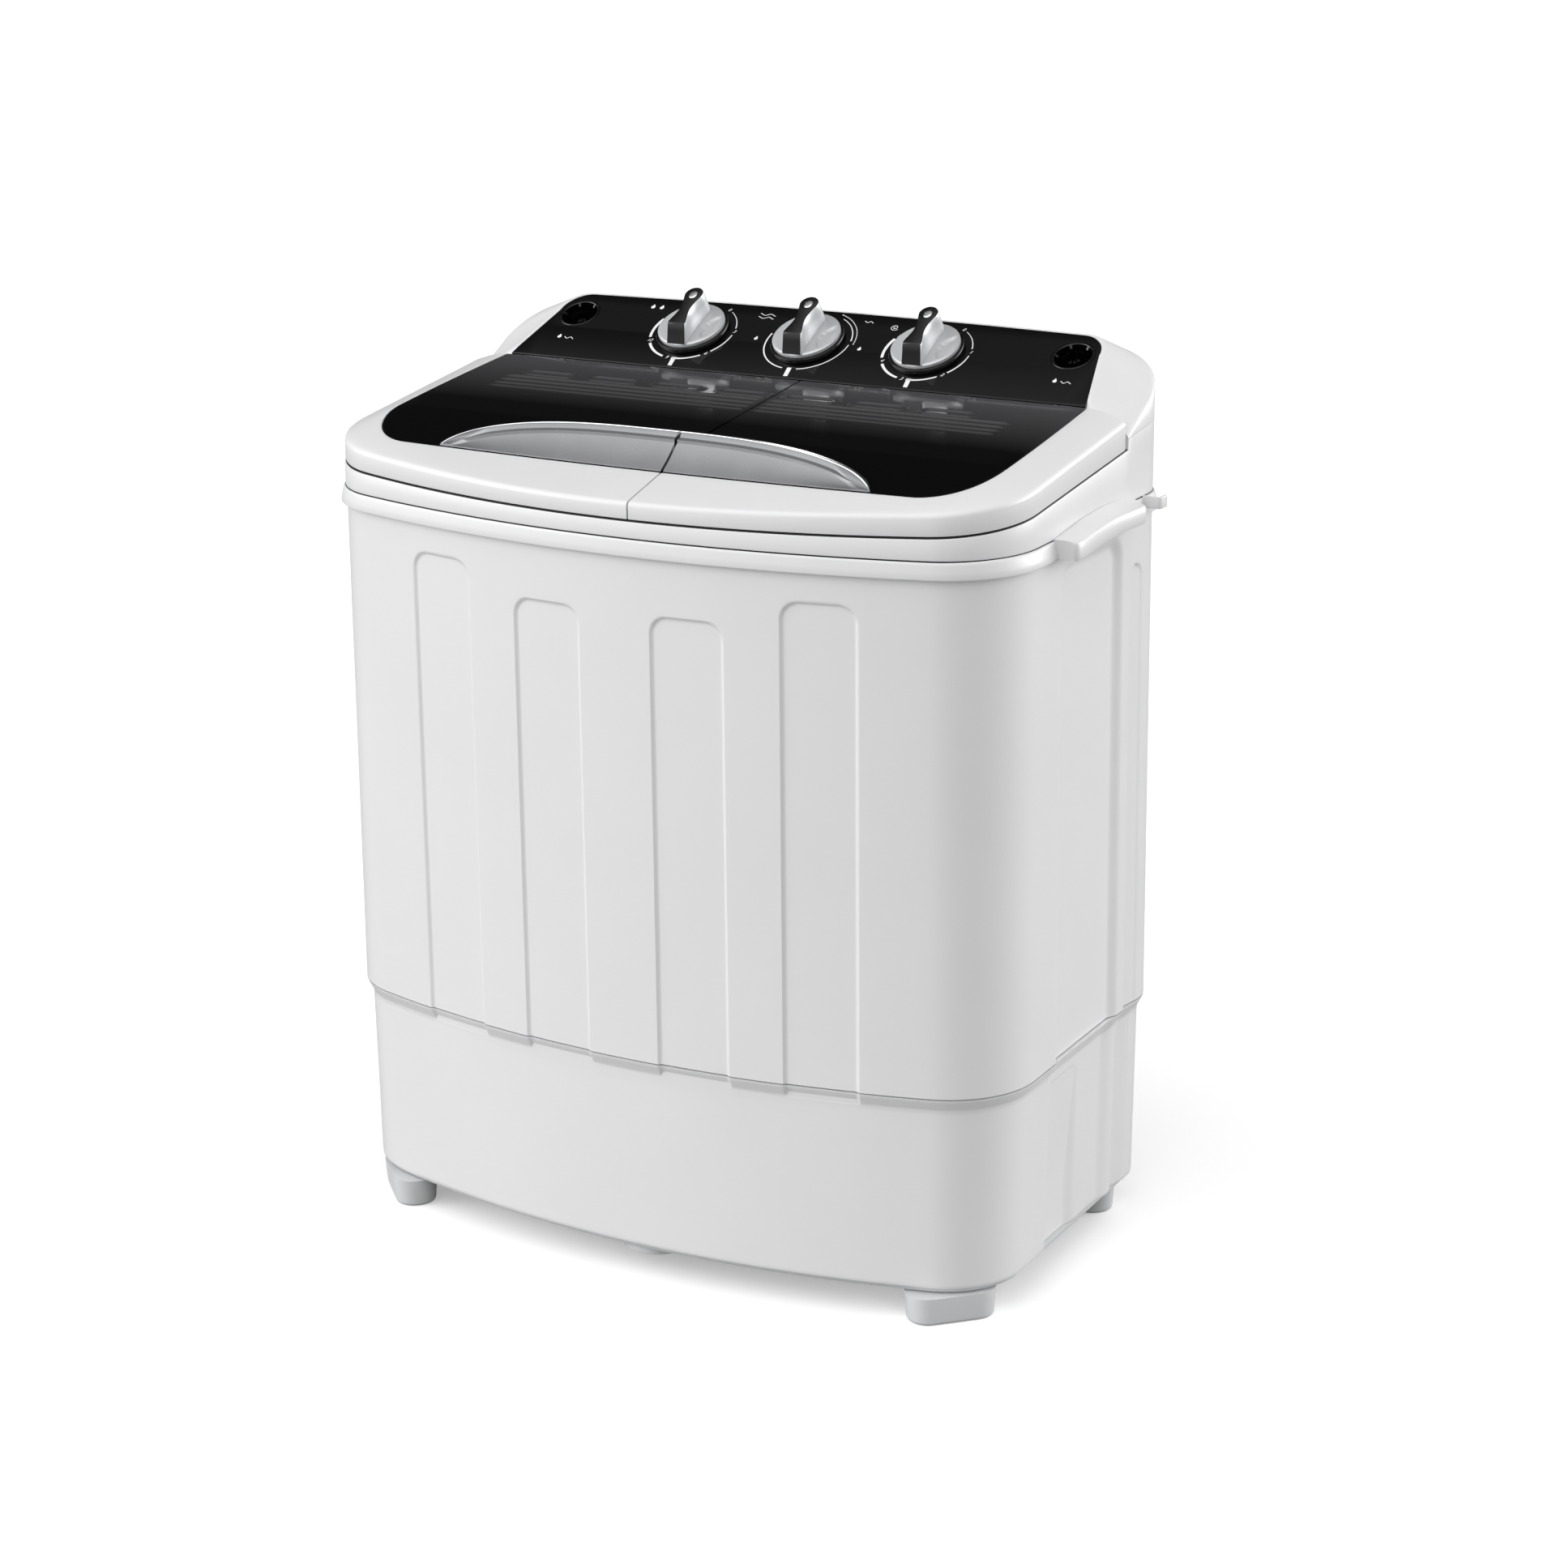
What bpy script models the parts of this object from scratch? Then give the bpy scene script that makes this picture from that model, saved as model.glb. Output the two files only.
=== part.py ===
"""Twin tub washer: a wash tub and a spin dryer in one case, with two hinged lids and three dials."""
import math

import bmesh
import bpy
import numpy as np
from mathutils import Matrix, Vector

MM = 0.001
NAME = "twin_tub_washer"

# Clearances between neighbouring pieces
GAP = 0.3 * MM
RUNNING = 0.5 * MM
LID_GAP = 1.2 * MM

# Plan outline of the rim, the widest part of the case
HALF_WIDTH = 286 * MM
HALF_DEPTH = 172.5 * MM
BOW_RADIUS = 824 * MM
FRONT_CORNER = 75 * MM
REAR_CORNER = 45 * MM
FRONT_SPREAD = 0.01

# Heights, from the floor
SKIRT_BOTTOM = 27.6 * MM
LIP_BOTTOM = 166.5 * MM
SEAM = 176.9 * MM
RIM_BOTTOM = 559 * MM
RIM_TOP = 571.8 * MM
LID_SEAM = 584.1 * MM
LID_SLOPE = 0.105
EDGE_SEAM = 596.1 * MM
EDGE_SLOPE = 0.128

# How far each level lies inside the plan outline: (sides, front and back)
SKIRT_INSET = (9 * MM, 11.4 * MM)
LIP_INSET = (6.8 * MM, 10 * MM)
SEAM_INSET = (1.9 * MM, 5.3 * MM)
CASE_TOP_INSET = (4.5 * MM, 4.5 * MM)
RIM_TOP_INSET = (4.4 * MM, 1.7 * MM)
DECK_INSET = (4.8 * MM, 1.8 * MM)
LID_INSET = (5.4 * MM, 2.8 * MM)

CASE_WALL = 4 * MM
THIN_WALL = 3 * MM

# Pressed grooves of the case: (centre along the wall, half width, top)
FRONT_GROOVES = ((-156.5 * MM, 27 * MM, 537 * MM), (-57 * MM, 27.5 * MM, 517 * MM),
                 (58 * MM, 27.5 * MM, 517 * MM), (156.5 * MM, 27 * MM, 537 * MM))
SIDE_GROOVES = ((27 * MM, 53 * MM, 549 * MM), (107.5 * MM, 10.5 * MM, 523 * MM))
GROOVE_DEPTH = 2 * MM
GROOVE_ROUND = 14 * MM

# Lids: they meet at the split, and swing on rods near the console
SPLIT_X = 14.5 * MM
SPLIT_GAP = 1.5 * MM
LID_REAR = 84.5 * MM
HINGE_Y = 78.5 * MM
HINGE_DROP = 8.3 * MM
ROD_RADIUS = 2 * MM
RAIL_DEPTH = 24 * MM
RAIL_HALF = 5.5 * MM
RAIL_END = 280.5 * MM
LUG_CLEAR = 8 * MM
LUG_WIDTH = 8 * MM
LUG_RADIUS = 4.6 * MM
LUG_INSET = 36 * MM
DOME_REAR = 641 * MM
DOME_SLOPE = 0.107
DOME_KNEE = -60 * MM
DOME_DROP = 0.145
SURROUND_STEP = 4 * MM
SURROUND_SLOPE = 0.36
WINDOW_HALF = 255 * MM
WINDOW_FRONT = -122 * MM
WINDOW_CORNER = 35 * MM
WINDOW_THICK = 3 * MM
LID_REACH = 300 * MM
LID_COLUMNS = 17
LID_ROWS = 6
WINDOW_BACK_GAP = 0.8 * MM
GRIP_HALF = 178 * MM
GRIP_END = 176 * MM
GRIP_FRONT = -121 * MM
GRIP_REACH = 26 * MM
GRIP_RISE = 17 * MM
GRIP_LIP = 3.5 * MM
GRIP_EDGE = 1.5 * MM
GRIP_UNDERCUT = 7 * MM

# Console, a sloping block behind the lids
CONSOLE_FRONT = 89.2 * MM
PANEL_FRONT = 87.5 * MM
PANEL_BACK = 162 * MM
PANEL_Z = 641.4 * MM
PANEL_SLOPE = 0.516
PANEL_HALF_FRONT = 250.3 * MM
PANEL_HALF_BACK = 236.3 * MM
PANEL_CORNER = 20 * MM
PANEL_THICK = 2.8 * MM
CONSOLE_STEP = 8.4 * MM
CREASE_FRONT = 623 * MM
CREASE_SLOPE = 0.55

# Dials
DIAL_X = (-105 * MM, -3 * MM, 99 * MM)
DIAL_Y = 128.5 * MM
DIAL_NAMES = ("wash_timer", "selector", "spin_timer")
DIAL_SKIRT = 29.5 * MM
DIAL_SKIRT_HEIGHT = 5 * MM
DIAL_DISC = 27 * MM
DIAL_DISC_HEIGHT = 3.5 * MM
DIAL_GRIP_WIDTH = 16 * MM
DIAL_GRIP_WAIST = 10 * MM
DIAL_GRIP_FRONT = (-26 * MM, -19 * MM)
DIAL_GRIP_BACK = (25 * MM, 22 * MM)
DIAL_GRIP_TOP = 24 * MM
DIAL_GRIP_CLIMB = 0.11
DIAL_SHAFT = 3 * MM
TIMER_SIZE = (44 * MM, 36 * MM, 20 * MM)

# Water inlets
INLET_X = 215 * MM
INLET_Y = 137.7 * MM
INLET_RADIUS = 16.5 * MM
INLET_DEPTH = 22 * MM
INLET_WALL = 2 * MM

# Wash tub
WASH_CENTRE = (-134 * MM, -10 * MM)
WASH_HALF = (134 * MM, 122 * MM)
WASH_CORNER = 55 * MM
WASH_OPENING_HALF = (121 * MM, 96 * MM)
WASH_OPENING_Y = -26 * MM
TUB_BOTTOM = 209.7 * MM
TUB_FLANGE = 6 * MM
TUB_FLANGE_THICK = 3.5 * MM
FLOOR_ROUND = 20 * MM

# Spin dryer
SPIN_CENTRE = (146 * MM, -20 * MM)
SPIN_TUB_RADIUS = 114 * MM
SPIN_OPENING = 86 * MM
BASKET_RADIUS = 100 * MM
BASKET_BOTTOM = 232 * MM
BASKET_TOP = 556 * MM
BASKET_MOUTH = 84 * MM
DRAIN_ROWS = 3
DRAIN_HOLES = 4
DRAIN_HOLE = 4 * MM
DRAIN_FIRST = 80 * MM
DRAIN_PITCH = 90 * MM

# Drive
SHAFT_RADIUS = 7 * MM
PULSATOR_RADIUS = min(WASH_HALF) - TUB_FLANGE - FLOOR_ROUND - 2 * THIN_WALL
PULSATOR_HEIGHT = 10 * MM
PULSATOR_RIBS = 4
BEARING_RADIUS = 28 * MM
BEARING_HEIGHT = 30 * MM
DRIVEN_PULLEY = 60 * MM
MOTOR_PULLEY = 18 * MM
PULLEY_HEIGHT = 14 * MM
PULLEY_BOTTOM = 158 * MM
BELT_THICK = 4 * MM
BELT_HEIGHT = 9 * MM
WASH_MOTOR = (-12 * MM, 68 * MM)
WASH_MOTOR_RADIUS = 38 * MM
SPIN_MOTOR_RADIUS = 42 * MM
MOTOR_BOTTOM = 52 * MM
WASH_MOTOR_TOP = 146 * MM
SPIN_MOTOR_TOP = 128 * MM
BRAKE_DRUM = 32 * MM
BRAKE_BOTTOM = 150 * MM
BRAKE_HEIGHT = 22 * MM
BRAKE_PIVOT = (186 * MM, -66 * MM)
BRAKE_GAP = 2.5 * MM

# Drain
VALVE_CENTRE = (-222 * MM, 66 * MM)
VALVE_RADIUS = 20 * MM
VALVE_HEIGHT = 46 * MM
PLUNGER_RADIUS = 12 * MM
PLUNGER_HEIGHT = 26 * MM
OUTLET = (-215 * MM, 70 * MM)
OUTLET_RADIUS = 14 * MM
OUTLET_BORE = 11 * MM
GLAND = (215 * MM, 110 * MM)
GLAND_RADIUS = 7 * MM
REAR_REACH = 172 * MM

# Small parts of the outside
HANDLE_FRONT = -42 * MM
HANDLE_BACK = 92 * MM
HANDLE_REACH = 302.5 * MM
HANDLE_WAIST = 294.5 * MM
HANDLE_LIP = 3 * MM
HANDLE_TOP = 3.2 * MM
HOOK_Y = 121 * MM
HOOK_REACH = 11 * MM
HOOK_HALF = 6 * MM
HOOK_WALL = 2.6 * MM
COVER_HALF = 200 * MM
COVER_LOW = 210 * MM
COVER_HIGH = 500 * MM
COVER_THICK = 2.4 * MM
FOOT_PLACE = (240 * MM, 108 * MM)
FOOT_SIZE = 46 * MM
FOOT_ROUND = 14 * MM
PLATE_THICK = 5 * MM
CENTRE_BOSS = 28 * MM

WHITE = (0.86, 0.87, 0.88)
BLACK = (0.012, 0.012, 0.014)
SILVER = (0.62, 0.63, 0.65)
GREY = (0.35, 0.36, 0.38)
STEEL = (0.55, 0.56, 0.58)
RUBBER = (0.03, 0.03, 0.03)


# Scene helpers

def clear_scene():
    for item in list(bpy.data.objects):
        bpy.data.objects.remove(item, do_unlink=True)


def new_collection(name):
    group = bpy.data.collections.new(name)
    bpy.context.scene.collection.children.link(group)
    return group


clear_scene()
PARTS = new_collection(NAME)
CUTTERS = new_collection("cutters")


def material(name, colour, roughness, metallic=0.0, alpha=1.0):
    mat = bpy.data.materials.new(name)
    mat.use_nodes = True
    shader = mat.node_tree.nodes["Principled BSDF"]
    shader.inputs["Base Color"].default_value = (*colour, 1.0)
    shader.inputs["Roughness"].default_value = roughness
    shader.inputs["Metallic"].default_value = metallic
    shader.inputs["Alpha"].default_value = alpha
    return mat


def plastic(name, colour=WHITE):
    return material(name, colour, 0.35)


def metal(name, colour=STEEL):
    return material(name, colour, 0.3, 1.0)


def add_mesh(name, verts, faces, mat=None, group=None):
    mesh = bpy.data.meshes.new(name)
    mesh.from_pydata([tuple(v) for v in verts], [], faces)
    work = bmesh.new()
    work.from_mesh(mesh)
    bmesh.ops.recalc_face_normals(work, faces=work.faces)
    work.to_mesh(mesh)
    work.free()
    thing = bpy.data.objects.new(name, mesh)
    (group or PARTS).objects.link(thing)
    if mat:
        mesh.materials.append(mat)
    return thing


def as_cutter(thing):
    """Moves a piece to the cutter collection, where it is hidden from renders."""
    for group in list(thing.users_collection):
        group.objects.unlink(thing)
    CUTTERS.objects.link(thing)
    thing.hide_render = True
    thing.display_type = "WIRE"
    return thing


def boolean(thing, other, operation):
    step = thing.modifiers.new(operation.lower() + "_" + other.name, "BOOLEAN")
    step.operation = operation
    step.solver = "EXACT"
    step.object = as_cutter(other)


def cut(thing, *others):
    for other in others:
        boolean(thing, other, "DIFFERENCE")
    return thing


def join(thing, *others):
    for other in others:
        boolean(thing, other, "UNION")
    return thing


def keep_inside(thing, other):
    boolean(thing, other, "INTERSECT")
    return thing


def loft(name, rings, mat=None, closed=False, triangles=False):
    """Skins rings that have the same number of points; capped at both ends, or closed on itself."""
    count = len(rings[0])
    verts = [point for ring in rings for point in ring]
    pairs = list(zip(range(len(rings) - 1), range(1, len(rings))))
    if closed:
        pairs.append((len(rings) - 1, 0))
    faces = []
    for low, high in pairs:
        for i in range(count):
            j = (i + 1) % count
            quad = (low * count + i, low * count + j, high * count + j, high * count + i)
            faces += [quad[:3], (quad[0], *quad[2:])] if triangles else [quad]
    if not closed:
        faces.append(tuple(range(count)))
        faces.append(tuple((len(rings) - 1) * count + i for i in range(count)))
    return add_mesh(name, verts, faces, mat)


def box(name, low, high, mat=None):
    bpy.ops.mesh.primitive_cube_add(size=1)
    thing = bpy.context.active_object
    size = Vector(high) - Vector(low)
    thing.data.transform(Matrix.Diagonal((*size, 1.0)))
    return place(thing, name, (Vector(high) + Vector(low)) / 2, mat)


def cylinder(name, radius, low, high, centre=(0, 0), mat=None, sides=32):
    """An upright cylinder from one height to another."""
    bpy.ops.mesh.primitive_cylinder_add(radius=radius, depth=high - low, vertices=sides)
    thing = bpy.context.active_object
    return place(thing, name, (centre[0], centre[1], (low + high) / 2), mat)


def place(thing, name, location, mat):
    """Names a fresh primitive, moves its mesh into place and files it with the parts."""
    thing.name = name
    thing.data.name = name
    thing.data.transform(Matrix.Translation(location))
    for group in list(thing.users_collection):
        group.objects.unlink(thing)
    PARTS.objects.link(thing)
    if mat:
        thing.data.materials.append(mat)
    return thing


def turned(name, profile, mat=None, sides=32):
    """Turns an open profile of (radius, height) points that begins and ends on the axis."""
    mesh = bpy.data.meshes.new(name)
    mesh.from_pydata([(r, 0, z) for r, z in profile], [(i, i + 1) for i in range(len(profile) - 1)], [])
    thing = bpy.data.objects.new(name, mesh)
    PARTS.objects.link(thing)
    screw = thing.modifiers.new("turn", "SCREW")
    screw.steps = sides
    screw.render_steps = sides
    screw.use_merge_vertices = True
    screw.merge_threshold = 1e-5
    screw.use_normal_calculate = True
    if mat:
        mesh.materials.append(mat)
    return thing


def move(thing, location, turn=0.0):
    """Sets a finished piece down somewhere, tilted about X."""
    thing.location = location
    thing.rotation_euler = (turn, 0, 0)
    return thing


def pivot(name, location, turn=0.0):
    empty = bpy.data.objects.new(name, None)
    empty.empty_display_size = 0.03
    PARTS.objects.link(empty)
    return move(empty, location, turn)


def ride(empty, *things):
    """Parents pieces to a pivot and leaves them where they are."""
    bpy.context.view_layer.update()
    for thing in things:
        thing.parent = empty
        thing.matrix_parent_inverse = empty.matrix_world.inverted()


# Plan outlines

def arc(centre, radius, start, end, steps):
    """Points of an arc, in degrees, both ends included."""
    angles = np.radians(np.linspace(start, end, steps + 1))
    return [(centre[0] + radius * math.cos(a), centre[1] + radius * math.sin(a)) for a in angles]


def outline(inset, extra=0.0, bow_steps=12, corner_steps=6):
    """The case's plan outline, bowed at the front, as points inside the rim's by `inset`."""
    side, front = inset[0] + extra, inset[1] + extra
    width = HALF_WIDTH - side
    depth = HALF_DEPTH - front
    corner = FRONT_CORNER - side
    bow = BOW_RADIUS - front
    reach = math.sqrt((bow - corner) ** 2 - (width - corner) ** 2)
    bow_centre = (0.0, bow - depth)
    corner_y = bow_centre[1] - reach
    lean = math.degrees(math.atan2(width - corner, reach))
    rear = REAR_CORNER - side
    points = arc(bow_centre, bow, -90 - lean, -90 + lean, bow_steps)
    points += arc((width - corner, corner_y), corner, -90 + lean, 0, corner_steps)[1:]
    points += arc((width - rear, depth - rear), rear, 0, 90, corner_steps)
    points += arc((rear - width, depth - rear), rear, 90, 180, corner_steps)
    points += arc((corner - width, corner_y), corner, 180, 270 - lean, corner_steps)[:-1]
    return [(x * spread(y), y) for x, y in points]


def spread(y):
    """The case is a little wider at the front than at the back."""
    return 1 + FRONT_SPREAD * (0.5 - y / (2 * HALF_DEPTH))


def at_height(points, height):
    """Lifts a plan outline to a height, or to a height that depends on y."""
    if callable(height):
        return [Vector((x, y, height(y))) for x, y in points]
    return [Vector((x, y, height)) for x, y in points]


def ring(inset, height, extra=0.0):
    return at_height(outline(inset, extra), height)


def rounded_rect(centre, half, corner, steps=5):
    cx, cy = centre
    hx, hy = half
    points = []
    for sx, sy, start in ((1, -1, -90), (1, 1, 0), (-1, 1, 90), (-1, -1, 180)):
        points += arc((cx + sx * (hx - corner), cy + sy * (hy - corner)), corner, start, start + 90, steps)
    return points


def rounded_prism(name, centre, half, corner, low, high, mat=None):
    points = rounded_rect(centre, half, corner)
    return loft(name, [at_height(points, low), at_height(points, high)], mat)


def deck_top(y):
    return LID_SEAM + LID_SLOPE * (y + HALF_DEPTH)


def deck_rear_top(y):
    return deck_top(y) + CONSOLE_STEP


def panel_top(y):
    return PANEL_Z + PANEL_SLOPE * (y - PANEL_FRONT)


PANEL_TILT = math.atan(PANEL_SLOPE)


def on_panel(x, y, lift=0.0):
    """A point above the panel's face, along the face's normal."""
    normal = Vector((0, -math.sin(PANEL_TILT), math.cos(PANEL_TILT)))
    return Vector((x, y, panel_top(y))) + normal * lift


# Case

def shell(name, levels, wall, mat):
    """A wall that follows the plan outline through levels of (inset, height)."""
    outer = [ring(inset, height) for inset, height in levels]
    inner = [ring(inset, height, wall) for inset, height in reversed(levels)]
    return loft(name, outer + inner, mat, closed=True)


def wall_point(wall, along, height, depth):
    """A point at a depth below the case wall's outside, on the front, right or left wall."""
    share = (height - SEAM) / (RIM_BOTTOM - SEAM)
    side = SEAM_INSET[0] + share * (CASE_TOP_INSET[0] - SEAM_INSET[0]) + depth
    front = SEAM_INSET[1] + share * (CASE_TOP_INSET[1] - SEAM_INSET[1]) + depth
    if wall == "front":
        bow = BOW_RADIUS - front
        return Vector((along, bow - (HALF_DEPTH - front) - math.sqrt(bow ** 2 - along ** 2), height))
    sign = 1 if wall == "right" else -1
    return Vector((sign * (HALF_WIDTH - side) * spread(along), along, height))


def groove_cutter(wall, centre, half, top):
    """A round-topped slot that runs down the wall, as deep as the pressed grooves."""
    low = SEAM - 20 * MM
    round_top = min(GROOVE_ROUND, half)
    rows = [(low, half)]
    for angle in range(0, 91, 30):
        a = math.radians(angle)
        rows.append((top - round_top + round_top * math.sin(a), half - round_top + round_top * math.cos(a)))
    rings = []
    for height, reach in rows:
        along = np.linspace(centre - reach, centre + reach, 7) if reach > 0 else [centre] * 7
        face = [wall_point(wall, s, height, -6 * MM) for s in along]
        back = [wall_point(wall, s, height, GROOVE_DEPTH) for s in reversed(along)]
        rings.append(face + back)
    return loft("groove", rings)


def build_case():
    case = shell("casing", [(SEAM_INSET, SEAM + GAP), (CASE_TOP_INSET, RIM_BOTTOM - GAP)],
                 CASE_WALL, plastic("casing"))
    for centre, half, top in FRONT_GROOVES:
        cut(case, groove_cutter("front", centre, half, top))
    for centre, half, top in SIDE_GROOVES:
        for wall in ("right", "left"):
            cut(case, groove_cutter(wall, centre, half, top))
    opening = 12 * MM
    back = HALF_DEPTH - SEAM_INSET[1]
    cut(case, box("cover_opening", (opening - COVER_HALF, back - 15 * MM, COVER_LOW + opening),
                  (COVER_HALF - opening, back + 10 * MM, COVER_HIGH - opening)))
    return case


def build_rear_cover():
    front = HALF_DEPTH - CASE_TOP_INSET[1] + GAP
    cover = box("rear_cover", (-COVER_HALF, front, COVER_LOW),
                (COVER_HALF, front + COVER_THICK, COVER_HIGH), plastic("rear_cover"))
    for row in range(5):
        z = COVER_HIGH - 60 * MM - row * 14 * MM
        cut(cover, box("cover_vent", (-70 * MM, front - 5 * MM, z), (70 * MM, front + 9 * MM, z + 5 * MM)))
    return cover


def build_base():
    back = HALF_DEPTH - SKIRT_INSET[1]
    levels = [(SKIRT_INSET, SKIRT_BOTTOM), (LIP_INSET, LIP_BOTTOM), (SEAM_INSET, SEAM)]
    skirt = shell("base_skirt", levels, CASE_WALL, plastic("base_skirt"))
    outlet_hole = cylinder("outlet_hole", OUTLET_RADIUS + GAP, -30 * MM, 30 * MM)
    gland_hole = cylinder("gland_hole", GLAND_RADIUS + GAP, -30 * MM, 30 * MM)
    cut(skirt, move(outlet_hole, (OUTLET[0], back, OUTLET[1]), math.pi / 2))
    cut(skirt, move(gland_hole, (GLAND[0], back, GLAND[1]), math.pi / 2))

    top = SKIRT_BOTTOM - GAP
    plate = loft("bottom_plate", [ring(SKIRT_INSET, top - PLATE_THICK, 5 * MM),
                                  ring(SKIRT_INSET, top, 3 * MM)], plastic("bottom_plate", GREY))
    boss = cylinder("centre_boss", CENTRE_BOSS, top - PLATE_THICK - 7 * MM, top - PLATE_THICK + 2 * MM,
                    (3 * MM, CENTRE_BOSS + SKIRT_INSET[1] - HALF_DEPTH + 3 * MM))
    join(plate, boss)
    return skirt, plate


def build_feet():
    feet = []
    top = SKIRT_BOTTOM - GAP - PLATE_THICK - GAP
    for side, x in (("left", -FOOT_PLACE[0]), ("right", FOOT_PLACE[0])):
        for end, y in (("front", -FOOT_PLACE[1]), ("rear", FOOT_PLACE[1] + 22 * MM)):
            low = rounded_rect((x, y), (FOOT_SIZE / 2 - 2 * MM,) * 2, FOOT_ROUND)
            high = rounded_rect((x, y), (FOOT_SIZE / 2,) * 2, FOOT_ROUND)
            feet.append(loft(f"foot_{end}_{side}", [at_height(low, 0), at_height(high, top)],
                             material(f"foot_{end}_{side}", GREY, 0.7)))
    return feet


def build_rim():
    outer = [ring((0, 0), RIM_BOTTOM), ring(RIM_TOP_INSET, RIM_TOP)]
    inner = [ring(CASE_TOP_INSET, RIM_TOP, CASE_WALL), ring(CASE_TOP_INSET, RIM_BOTTOM, CASE_WALL)]
    return loft("rim_band", outer + inner, plastic("rim_band"), closed=True)


def handle_reach(y):
    """How far out the carry lip stands: full at its front, drawn in behind, and out a little again."""
    t = (y - HANDLE_FRONT) / (HANDLE_BACK - HANDLE_FRONT)
    nose = math.sqrt(max(0.0, 1 - ((0.09 - min(t, 0.09)) / 0.09) ** 2)) if t < 0.09 else 1.0
    fall = 0.5 - 0.5 * math.cos(math.pi * min(max((t - 0.1) / 0.55, 0), 1))
    rise = max(0.0, (t - 0.7) / 0.3) ** 2 * 0.3
    base = HALF_WIDTH * spread(y) + GAP
    reach = HANDLE_REACH + (HANDLE_WAIST - HANDLE_REACH) * (fall - rise)
    return base + (reach - base) * (0.25 + 0.75 * nose)


def build_handle(side):
    """A carry lip on the rim: a top plate with a turned-down edge, and room for fingers behind it."""
    sign = 1 if side == "right" else -1
    rows = np.concatenate([np.linspace(0, 0.12, 4), np.linspace(0.2, 1, 9)])
    rings = []
    for share in rows:
        y = HANDLE_FRONT + share * (HANDLE_BACK - HANDLE_FRONT)
        root = HALF_WIDTH * spread(y) + GAP
        reach = handle_reach(y)
        neck = min(root + 1.5 * MM, reach - HANDLE_LIP - 0.5 * MM)
        inner = max(reach - HANDLE_LIP, neck + 0.3 * MM)
        top = RIM_TOP + 3 * MM * math.sin(math.pi * share)
        section = [(root, RIM_BOTTOM + 4 * MM), (neck, RIM_BOTTOM + 4 * MM), (neck, RIM_TOP - HANDLE_TOP),
                   (inner, RIM_TOP - HANDLE_TOP), (inner, RIM_BOTTOM), (reach, RIM_BOTTOM),
                   (reach, RIM_TOP), (root, top)]
        rings.append([Vector((sign * x, y, z)) for x, z in section])
    return loft(f"side_handle_{side}", rings, plastic(f"side_handle_{side}"))


def build_hook():
    """A small open hook for the hose at the right rear of the rim."""
    root = HALF_WIDTH * spread(HOOK_Y) + GAP
    low, high = RIM_BOTTOM + 2 * MM, RIM_TOP
    hook = box("hose_hook", (root, HOOK_Y - HOOK_HALF, low), (root + HOOK_REACH, HOOK_Y + HOOK_HALF, high),
               plastic("hose_hook"))
    cut(hook, box("hook_gap", (root + HOOK_WALL, HOOK_Y - HOOK_HALF + HOOK_WALL, low - 5 * MM),
                  (root + HOOK_REACH - HOOK_WALL, HOOK_Y + 20 * MM, high + 5 * MM)))
    return hook


# Deck and console

def behind(y, low=500 * MM, high=720 * MM):
    reach = 400 * MM
    return box("behind", (-reach, y, low), (reach, reach, high))


def build_deck():
    deck = loft("top_deck", [ring(DECK_INSET, RIM_TOP + GAP), ring(DECK_INSET, deck_top)], plastic("top_deck"))
    rear = loft("deck_rear", [ring(DECK_INSET, RIM_TOP + 5 * MM), ring(DECK_INSET, deck_rear_top)])
    keep_inside(rear, behind(CONSOLE_FRONT))
    join(deck, rear)
    pocket = loft("deck_pocket", [ring(DECK_INSET, RIM_TOP - 5 * MM, 8 * MM),
                                  ring(DECK_INSET, lambda y: deck_rear_top(y) - CASE_WALL, 8 * MM)])
    keep_inside(pocket, behind(CONSOLE_FRONT + CASE_WALL))
    cut(deck, pocket)
    low, high = RIM_TOP - 10 * MM, RIM_TOP + 60 * MM
    cut(deck, rounded_prism("wash_mouth", (WASH_CENTRE[0], WASH_OPENING_Y), WASH_OPENING_HALF,
                            WASH_CORNER - 13 * MM, low, high))
    cut(deck, cylinder("spin_mouth", SPIN_OPENING, low, high, SPIN_CENTRE, sides=40))
    return deck


def console_plan(front, extra=0.0):
    """The console's plan: the rear of the case outline, cut straight across at its front."""
    depth = HALF_DEPTH - DECK_INSET[1] - extra
    width = HALF_WIDTH - DECK_INSET[0] - extra
    rear = REAR_CORNER - DECK_INSET[0] - extra
    points = [(-width, front), (width, front)]
    points += arc((width - rear, depth - rear), rear, 0, 90, 6)
    points += arc((rear - width, depth - rear), rear, 90, 180, 6)
    return [(x * spread(y), y) for x, y in points]


def panel_plan(extra=0.0, front=PANEL_FRONT, drop=0.0):
    """The panel's outline seen from above, smaller by `extra`."""
    back = PANEL_BACK - extra
    half_back = PANEL_HALF_BACK - extra
    corner = PANEL_CORNER - extra
    taper = (PANEL_HALF_FRONT - PANEL_HALF_BACK) / (PANEL_BACK - PANEL_CORNER - PANEL_FRONT)
    half_front = PANEL_HALF_FRONT - extra + taper * (PANEL_FRONT - front)
    points = [(-half_front, front), (half_front, front)]
    points += arc((half_back - corner, back - corner), corner, 0, 90, 6)
    points += arc((corner - half_back, back - corner), corner, 90, 180, 6)
    return [Vector((x, y, panel_top(y) - drop)) for x, y in points]


def console_solid(name, extra=0.0, mat=None):
    """The console block; `extra` makes the smaller block that hollows it."""
    front = CONSOLE_FRONT + extra
    low = 40 * MM if extra else 0.0

    def crease(y):
        return CREASE_FRONT + CREASE_SLOPE * (y - CONSOLE_FRONT) - extra

    plan = console_plan(front, extra)
    rings = [at_height(plan, lambda y: deck_rear_top(y) + GAP - low), at_height(plan, crease),
             panel_plan(extra, front, drop=extra)]
    return loft(name, rings, mat)


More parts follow.
